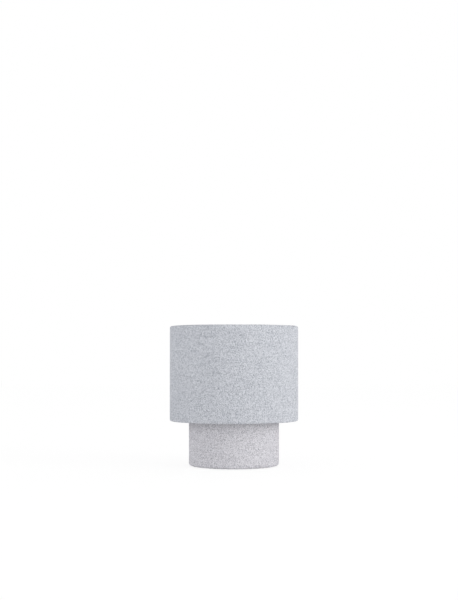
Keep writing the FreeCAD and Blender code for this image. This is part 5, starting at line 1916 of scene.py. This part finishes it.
@dataclass
class Candle:
    """Wax candle with its melted bowl, and the two screws of the cap under it."""

    # Places that its solid gives
    radius: float
    foot: float
    top: float

    # Section of the wax
    inner: float = 0.0255
    inner_foot_round: float = 0.0003
    outer_foot_round: float = 0.0009
    rim_width: float = 0.0022
    rim_round: float = 0.001
    bowl_lean: float = 0.0016
    bowl_round: float = 0.004
    pool: float = 0.011
    pool_band: float = 0.001
    floor: float = 0.0025
    hole: float = 0.0098
    hole_round: float = 0.0006
    under_round: float = 0.0003
    step: float = 0.0025
    turn: float = 15.0
    columns: int = 224

    # Melted rim, side and bowl
    rim_drop_mean: float = 0.0004
    rim_waves: Sequence[Wave] = ((2, 0, 0.00012), (5, 0, 0.0001), (9, 0, 0.00006))
    rim_seed: int = 41
    dips: tuple[float, ...] = (5.0, 125.0, 245.0)
    dip_depth: float = 0.00221
    dip_half_angle: float = 24.0
    melt_depth: float = 0.016
    side_sink: float = 0.0001
    side_waves: Sequence[Wave] = ((2, 30.0, 0.00007), (3, -60.0, 0.00006), (7, 90.0, 0.00003))
    side_seed: int = 43
    bowl_waves: Sequence[Wave] = ((4, 0, 0.00025), (7, 0, 0.00015))
    bowl_seed: int = 47
    bowl_waves_start: float = 0.003

    # Screws of the cap
    cap_screw_head: float = 0.0017
    cap_screw_height: float = 0.0011
    cap_screw_socket: float = 0.00072
    cap_screw_socket_depth: float = 0.0006
    cap_screw_shank: float = 0.00095
    cap_screw_circle: float = 0.0211
    cap_screw_azimuths: tuple[float, ...] = (115.0, 295.0)

    @classmethod
    def from_frame(cls) -> "Candle":
        """Take the candle's places from its wax.

        Returns:
            The candle.
        """
        low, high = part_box("candle_shell")
        return cls(radius=high.x, foot=low.z, top=high.z)

    def build(self) -> None:
        """Make the wax and the screws."""
        self.make_wax()
        self.make_cap_screws()

    def rim_drop(self, angle: np.ndarray) -> np.ndarray:
        """Work out how far the melted rim lies under its highest level.

        Each dip is its depth times the square of a cosine over its own width, and soft waves are added.

        Args:
            angle: Angles round the axis in radians.

        Returns:
            The drop at each angle.
        """
        half = math.radians(self.dip_half_angle)
        drop = self.rim_drop_mean + ripple(angle, 0 * angle, self.rim_waves, self.rim_seed)
        for azimuth in self.dips:
            apart = (angle - math.radians(azimuth) + math.pi) % FULL_TURN - math.pi
            dip = np.where(np.abs(apart) < half, np.cos(apart / half * math.pi / 2) ** 2, 0)
            drop = drop + self.dip_depth * dip
        return drop

    def make_wax(self) -> None:
        """Wax shell with a bowl that the flame has melted into its top.

        The section is carried round the axis. Near the top its side and bowl sink by the rim's drop, which
        fades downwards and leaves out the pool. Soft waves move the side and the bowl's wall in and out.
        """
        rim, pool = self.radius - self.rim_width, self.top - self.pool
        bowl = rim - self.bowl_lean
        corners = [
            (self.inner, self.foot, self.inner_foot_round),
            (self.radius, self.foot, self.outer_foot_round),
            (self.radius, self.top, self.rim_round),
            (rim, self.top, self.rim_round),
            (bowl, pool, self.bowl_round),
            (self.hole, pool, self.hole_round),
            (self.hole, pool - self.floor, self.under_round),
            (self.inner, pool - self.floor),
        ]
        outline = closed(corners, step=self.step, turn=self.turn)
        section = outline[:, 0, None]
        angle = full_turn(self.columns)[None, :]
        radius, height = section + 0 * angle, outline[:, 1, None] + 0 * angle
        is_side = section > bowl + SAME_PLACE
        is_outer = section > self.radius - self.side_sink
        is_pool = (section < rim) & (height < pool + self.pool_band)
        melt = smooth_step((height - (self.top - self.melt_depth)) / self.melt_depth)
        height = height - self.rim_drop(angle) * np.where(is_side & ~is_pool, melt, 0)
        swell = ripple(angle, height, self.side_waves, self.side_seed) - self.side_sink
        lean = ripple(angle, height * 0, self.bowl_waves, self.bowl_seed)
        is_bowl = is_side & ~is_outer & (height > pool + self.bowl_waves_start)
        radius = radius + np.where(is_outer, swell, 0) + np.where(is_bowl, lean, 0)
        wax = Shell(round_axis(radius, angle, height))
        make_piece("wax_pillar", [wax], Body.CANDLE, WAX, ["candle_shell"], Crease.SOFT)

    def make_cap_screws(self) -> None:
        """Two small screws that hold the cap, heads down."""
        low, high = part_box("cap_screws")
        screw = Screw(
            self.cap_screw_head,
            self.cap_screw_height,
            self.cap_screw_socket,
            self.cap_screw_socket_depth,
            self.cap_screw_shank,
            length=high.z - low.z - self.cap_screw_height,
            is_down=True,
        )
        seat = low.z + self.cap_screw_height
        shells = [screw.shell(self.cap_screw_circle, azimuth, seat) for azimuth in self.cap_screw_azimuths]
        node = ["cap_screws"]
        make_piece("cap_screw_pair", shells, Body.CANDLE, SCREW_STEEL, node, Crease.CRISP)


@dataclass
class Flame:
    """Frosted flame that swings on a wire, with its stem and the eye that the wire runs through."""

    # Places that its solids give
    stem_foot: float
    foot: float
    top: float
    pivot: float

    # Blade
    foot_depth: float = 0.002
    half_width: float = 0.0063
    lean: float = 0.0064
    half_thickness: float = 0.00118
    knots: tuple[float, ...] = (0.0, 0.09, 0.22, 0.36, 0.52, 0.68, 0.83, 0.94, 1.0)
    width_shares: tuple[float, ...] = (0.40, 0.72, 0.97, 1.0, 0.84, 0.58, 0.33, 0.15, 0.02)
    lean_shares: tuple[float, ...] = (0.0, 0.0, 0.0, -0.02, -0.05, -0.05, 0.02, 0.12, 0.19)
    ridge: float = 0.12
    ridges: int = 3
    blade_rows: int = 61
    blade_columns: int = 48

    # Stem and eye
    stem_half_width: float = 0.0025
    stem_half_thickness: float = 0.0007
    flare_start: float = 0.7
    stem_rows: int = 12
    pivot_depth: float = 0.005
    eye_radius: float = 0.0018
    eye_half_length: float = 0.0012
    eye_bevel: float = 0.0002
    eye_columns: int = 32

    @classmethod
    def from_frame(cls) -> "Flame":
        """Take the flame's places from its solids and the wax.

        Returns:
            The flame.
        """
        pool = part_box("candle_shell")[1].z - Candle.pool
        return cls(
            stem_foot=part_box("flame_magnet")[1].z,
            foot=pool - cls.foot_depth,
            top=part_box("flame")[1].z,
            pivot=pool - cls.pivot_depth,
        )

    def build(self) -> None:
        """Make the flame."""
        shells = [self.blade(), self.eye()]
        make_piece("flame_blade", shells, Body.FLAME, FLAME, ["flame"])

    def blade(self) -> Shell:
        """Work out an oval section that swells, narrows and leans towards its tip, over a narrow stem.

        The half width is a curve through its shares at the knots, the lean likewise, and the thickness
        follows the square root of the width's share. Waves round the section give it soft ridges.

        Returns:
            Its surface, closed at both ends.
        """
        share = np.linspace(0, 1, self.blade_rows)
        stem = np.linspace(0, 1, self.stem_rows, endpoint=False)
        knots = np.array(self.knots)
        swell = smooth_curve(share, knots, np.array(self.width_shares))
        width = swell * self.half_width
        thick = np.sqrt(np.clip(swell, 0, 1)) * self.half_thickness
        lean = smooth_curve(share, knots, np.array(self.lean_shares)) * self.lean
        flare = smooth_step((stem - self.flare_start) / (1 - self.flare_start))
        stem_width = self.stem_half_width + (width[0] - self.stem_half_width) * flare
        stem_thick = self.stem_half_thickness + (thick[0] - self.stem_half_thickness) * flare
        stem_level = self.stem_foot + (self.foot - self.stem_foot) * stem
        height = np.concatenate([stem_level, self.foot + (self.top - self.foot) * share])[:, None]
        width = np.concatenate([stem_width, width])[:, None]
        thick = np.concatenate([stem_thick, thick])[:, None]
        lean = np.concatenate([0 * stem, lean])[:, None]
        angle = full_turn(self.blade_columns)
        ridged = 1 + self.ridge * np.cos(self.ridges * angle) * (height > self.foot)
        x, y = lean + width * np.cos(angle), thick * np.sin(angle) * ridged
        points = np.stack([x, y, height + 0 * angle], axis=-1)
        ends = [np.broadcast_to(points[row].mean(axis=0), points[row].shape)[None] for row in (0, -1)]
        return Shell(np.concatenate([ends[0], points, ends[1]]))

    def eye(self) -> Shell:
        """Work out the short barrel round the wire, a profile carried round the wire's line along Y.

        Returns:
            Its surface, closed at both ends.
        """
        inset, narrow = self.eye_half_length - self.eye_bevel, self.eye_radius - self.eye_bevel
        profile = np.array([
            (0, -self.eye_half_length),
            (narrow, -self.eye_half_length),
            (self.eye_radius, -inset),
            (self.eye_radius, inset),
            (narrow, self.eye_half_length),
            (0, self.eye_half_length),
        ])
        angle = full_turn(self.eye_columns)
        ring = round_axis(profile[:, 0, None], angle[None, :], profile[:, 1, None])
        return Shell(ring[..., [0, 2, 1]] + (0, 0, self.pivot))


@dataclass
class InnerWorks:
    """Solids that keep their own shape and get their finish here."""

    finishes: dict[str, Finish] = field(default_factory=lambda: {
        "base_housing": HOUSING,
        "ballast_disc": WEIGHT_STEEL,
        "ballast_screws": SCREW_STEEL,
        "shade_top_ring": RING_STEEL,
        "candle_core": CORE,
        "bottom_cap": CAP,
        "battery_holder": HOLDER,
        "battery_cells": CELL,
        "contact_spring": CONTACT,
        "contact_plate": CONTACT,
        "switch_body": SWITCH,
        "switch_leads": WIRE,
        "control_board": BOARD,
        "board_parts": COMPONENT,
        "coil_bobbin": BOBBIN,
        "drive_coil": COIL,
        "flame_chimney": CHIMNEY,
        "pivot_wire": PIVOT_STEEL,
        "flame_led": LIGHT_LENS,
        "led_leads": CONTACT,
        "flame_magnet": MAGNET,
        "battery_door": CAP,
        "door_contact": CONTACT,
        "switch_knob": KNOB,
    })

    def build(self) -> None:
        """Give each of them its finish."""
        for node, finish in self.finishes.items():
            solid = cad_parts[node]
            solid.data.materials.clear()
            solid.data.materials.append(finish.material())
            LOG.info("%s: finished as %s", node, finish.name)


@dataclass
class Studio:
    """Pale floor, soft light and the camera, placed as in the photograph."""

    # Camera, with the photograph's frame in pixels
    image_width: float = 458
    image_height: float = 600
    focal_pixels: float = 1087.8
    axis_column: float = 233.95
    eye_row: float = 356.8
    distance: float = 1.36
    eye_height: float = 0.1357
    sensor: float = 36.0

    # Floor and sky
    white: Colour = (1.0, 1.0, 1.0)
    floor_size: float = 8.0
    floor_colour: Colour = (0.9, 0.9, 0.9)
    floor_glow: float = 1.1
    glow_share: float = 0.75
    low_light: float = 1.45
    low_light_end: float = 0.15
    high_light: float = 0.55
    high_light_start: float = 0.75

    # Side lamp
    lamp_azimuth: float = -25.0
    lamp_elevation: float = 12.0
    lamp_distance: float = 2.2
    lamp_aim: float = 0.1
    lamp_size: float = 1.1
    lamp_power: float = 10.2
    lamp_colour: Colour = (1.0, 0.98, 0.94)

    def build(self) -> None:
        """Make the floor, the light and the camera."""
        self.make_floor()
        self.make_sky()
        self.make_lamp()
        self.make_camera()

    def seen_directly(self, tree: Tree) -> bpy.types.NodeSocket:
        """Tell rays from the camera, off a mirror or through glass from all others.

        Args:
            tree: Tree of the floor or the sky.

        Returns:
            1 for such a ray and 0 for any other.
        """
        path = tree.node("ShaderNodeLightPath").outputs
        either = tree.math("MAXIMUM", path["Is Camera Ray"], path["Is Glossy Ray"])
        return tree.math("MAXIMUM", either, path["Is Transmission Ray"])

    def make_floor(self) -> None:
        """Floor that is white where it is lit and keeps a soft shadow."""
        half = self.floor_size / 2
        mesh = bpy.data.meshes.new("floor")
        corners = [(-half, -half, 0), (half, -half, 0), (half, half, 0), (-half, half, 0)]
        mesh.from_pydata(corners, [], [(0, 1, 2, 3)])
        floor = bpy.data.objects.new("floor", mesh)
        bpy.context.scene.collection.objects.link(floor)
        material = bpy.data.materials.new("floor_paper")
        material.use_nodes = True
        material.node_tree.nodes.clear()
        tree = Tree(material.node_tree)
        paper = tree.node("ShaderNodeBsdfDiffuse", {"Color": self.floor_colour}).outputs[0]
        glow = tree.node("ShaderNodeEmission", {"Color": self.white, "Strength": self.floor_glow}).outputs[0]
        share = tree.times(self.seen_directly(tree), self.glow_share)
        mixed = tree.node("ShaderNodeMixShader", {0: share, 1: paper, 2: glow}).outputs[0]
        tree.node("ShaderNodeOutputMaterial", {"Surface": mixed})
        mesh.materials.append(material)

    def make_sky(self) -> None:
        """Soft light from all round, stronger from the sides than from above, on a white background."""
        world = bpy.data.worlds.new("studio")
        bpy.context.scene.world = world
        world.use_nodes = True
        world.node_tree.nodes.clear()
        tree = Tree(world.node_tree)
        upward = tree.parts(tree.node("ShaderNodeTexCoord").outputs["Generated"])[2]
        ends = (self.low_light_end, self.high_light_start)
        level = tree.spread(upward, *ends, self.low_light, self.high_light)
        light = tree.node("ShaderNodeBackground", {"Color": self.white, "Strength": level}).outputs[0]
        white = tree.node("ShaderNodeBackground", {"Color": self.white, "Strength": 1.0}).outputs[0]
        mixed = tree.node("ShaderNodeMixShader", {0: self.seen_directly(tree), 1: light, 2: white}).outputs[0]
        tree.node("ShaderNodeOutputWorld", {"Surface": mixed})

    def make_lamp(self) -> None:
        """Large soft lamp to the right of the camera."""
        light = bpy.data.lights.new("side_lamp", "AREA")
        light.shape = "DISK"
        light.size = self.lamp_size
        light.energy = self.lamp_power
        light.color = self.lamp_colour
        lamp = bpy.data.objects.new("side_lamp", light)
        bpy.context.scene.collection.objects.link(lamp)
        azimuth, elevation = math.radians(self.lamp_azimuth), math.radians(self.lamp_elevation)
        flat = self.lamp_distance * math.cos(elevation)
        height = self.lamp_aim + self.lamp_distance * math.sin(elevation)
        lamp.location = (flat * math.cos(azimuth), flat * math.sin(azimuth), height)
        lamp.rotation_euler = (math.pi / 2 - elevation, 0, azimuth + math.pi / 2)

    def make_camera(self) -> None:
        """Level camera, shifted so that the lamp stands where it does in the photograph."""
        data = bpy.data.cameras.new("camera")
        data.sensor_width = self.sensor
        data.lens = self.focal_pixels / self.image_height * self.sensor
        data.shift_x = (self.image_width / 2 - self.axis_column) / self.image_height
        data.shift_y = (self.eye_row - self.image_height / 2) / self.image_height
        camera = bpy.data.objects.new("camera", data)
        bpy.context.scene.collection.objects.link(camera)
        camera.location = (0, -self.distance, self.eye_height)
        camera.rotation_euler = (math.pi / 2, 0, 0)
        bpy.context.scene.camera = camera


def main() -> None:
    """Build the lamp and its studio."""
    logging.basicConfig(level=logging.INFO, format="%(message)s")
    bpy.context.scene.view_settings.view_transform = "Standard"
    sub_assemblies = (Base, Shade, Candle, Flame)
    for part in (*(kind.from_frame() for kind in sub_assemblies), InnerWorks(), Studio()):
        LOG.info("Building %s", type(part).__name__)
        part.build()


if __name__ == "__main__":
    main()
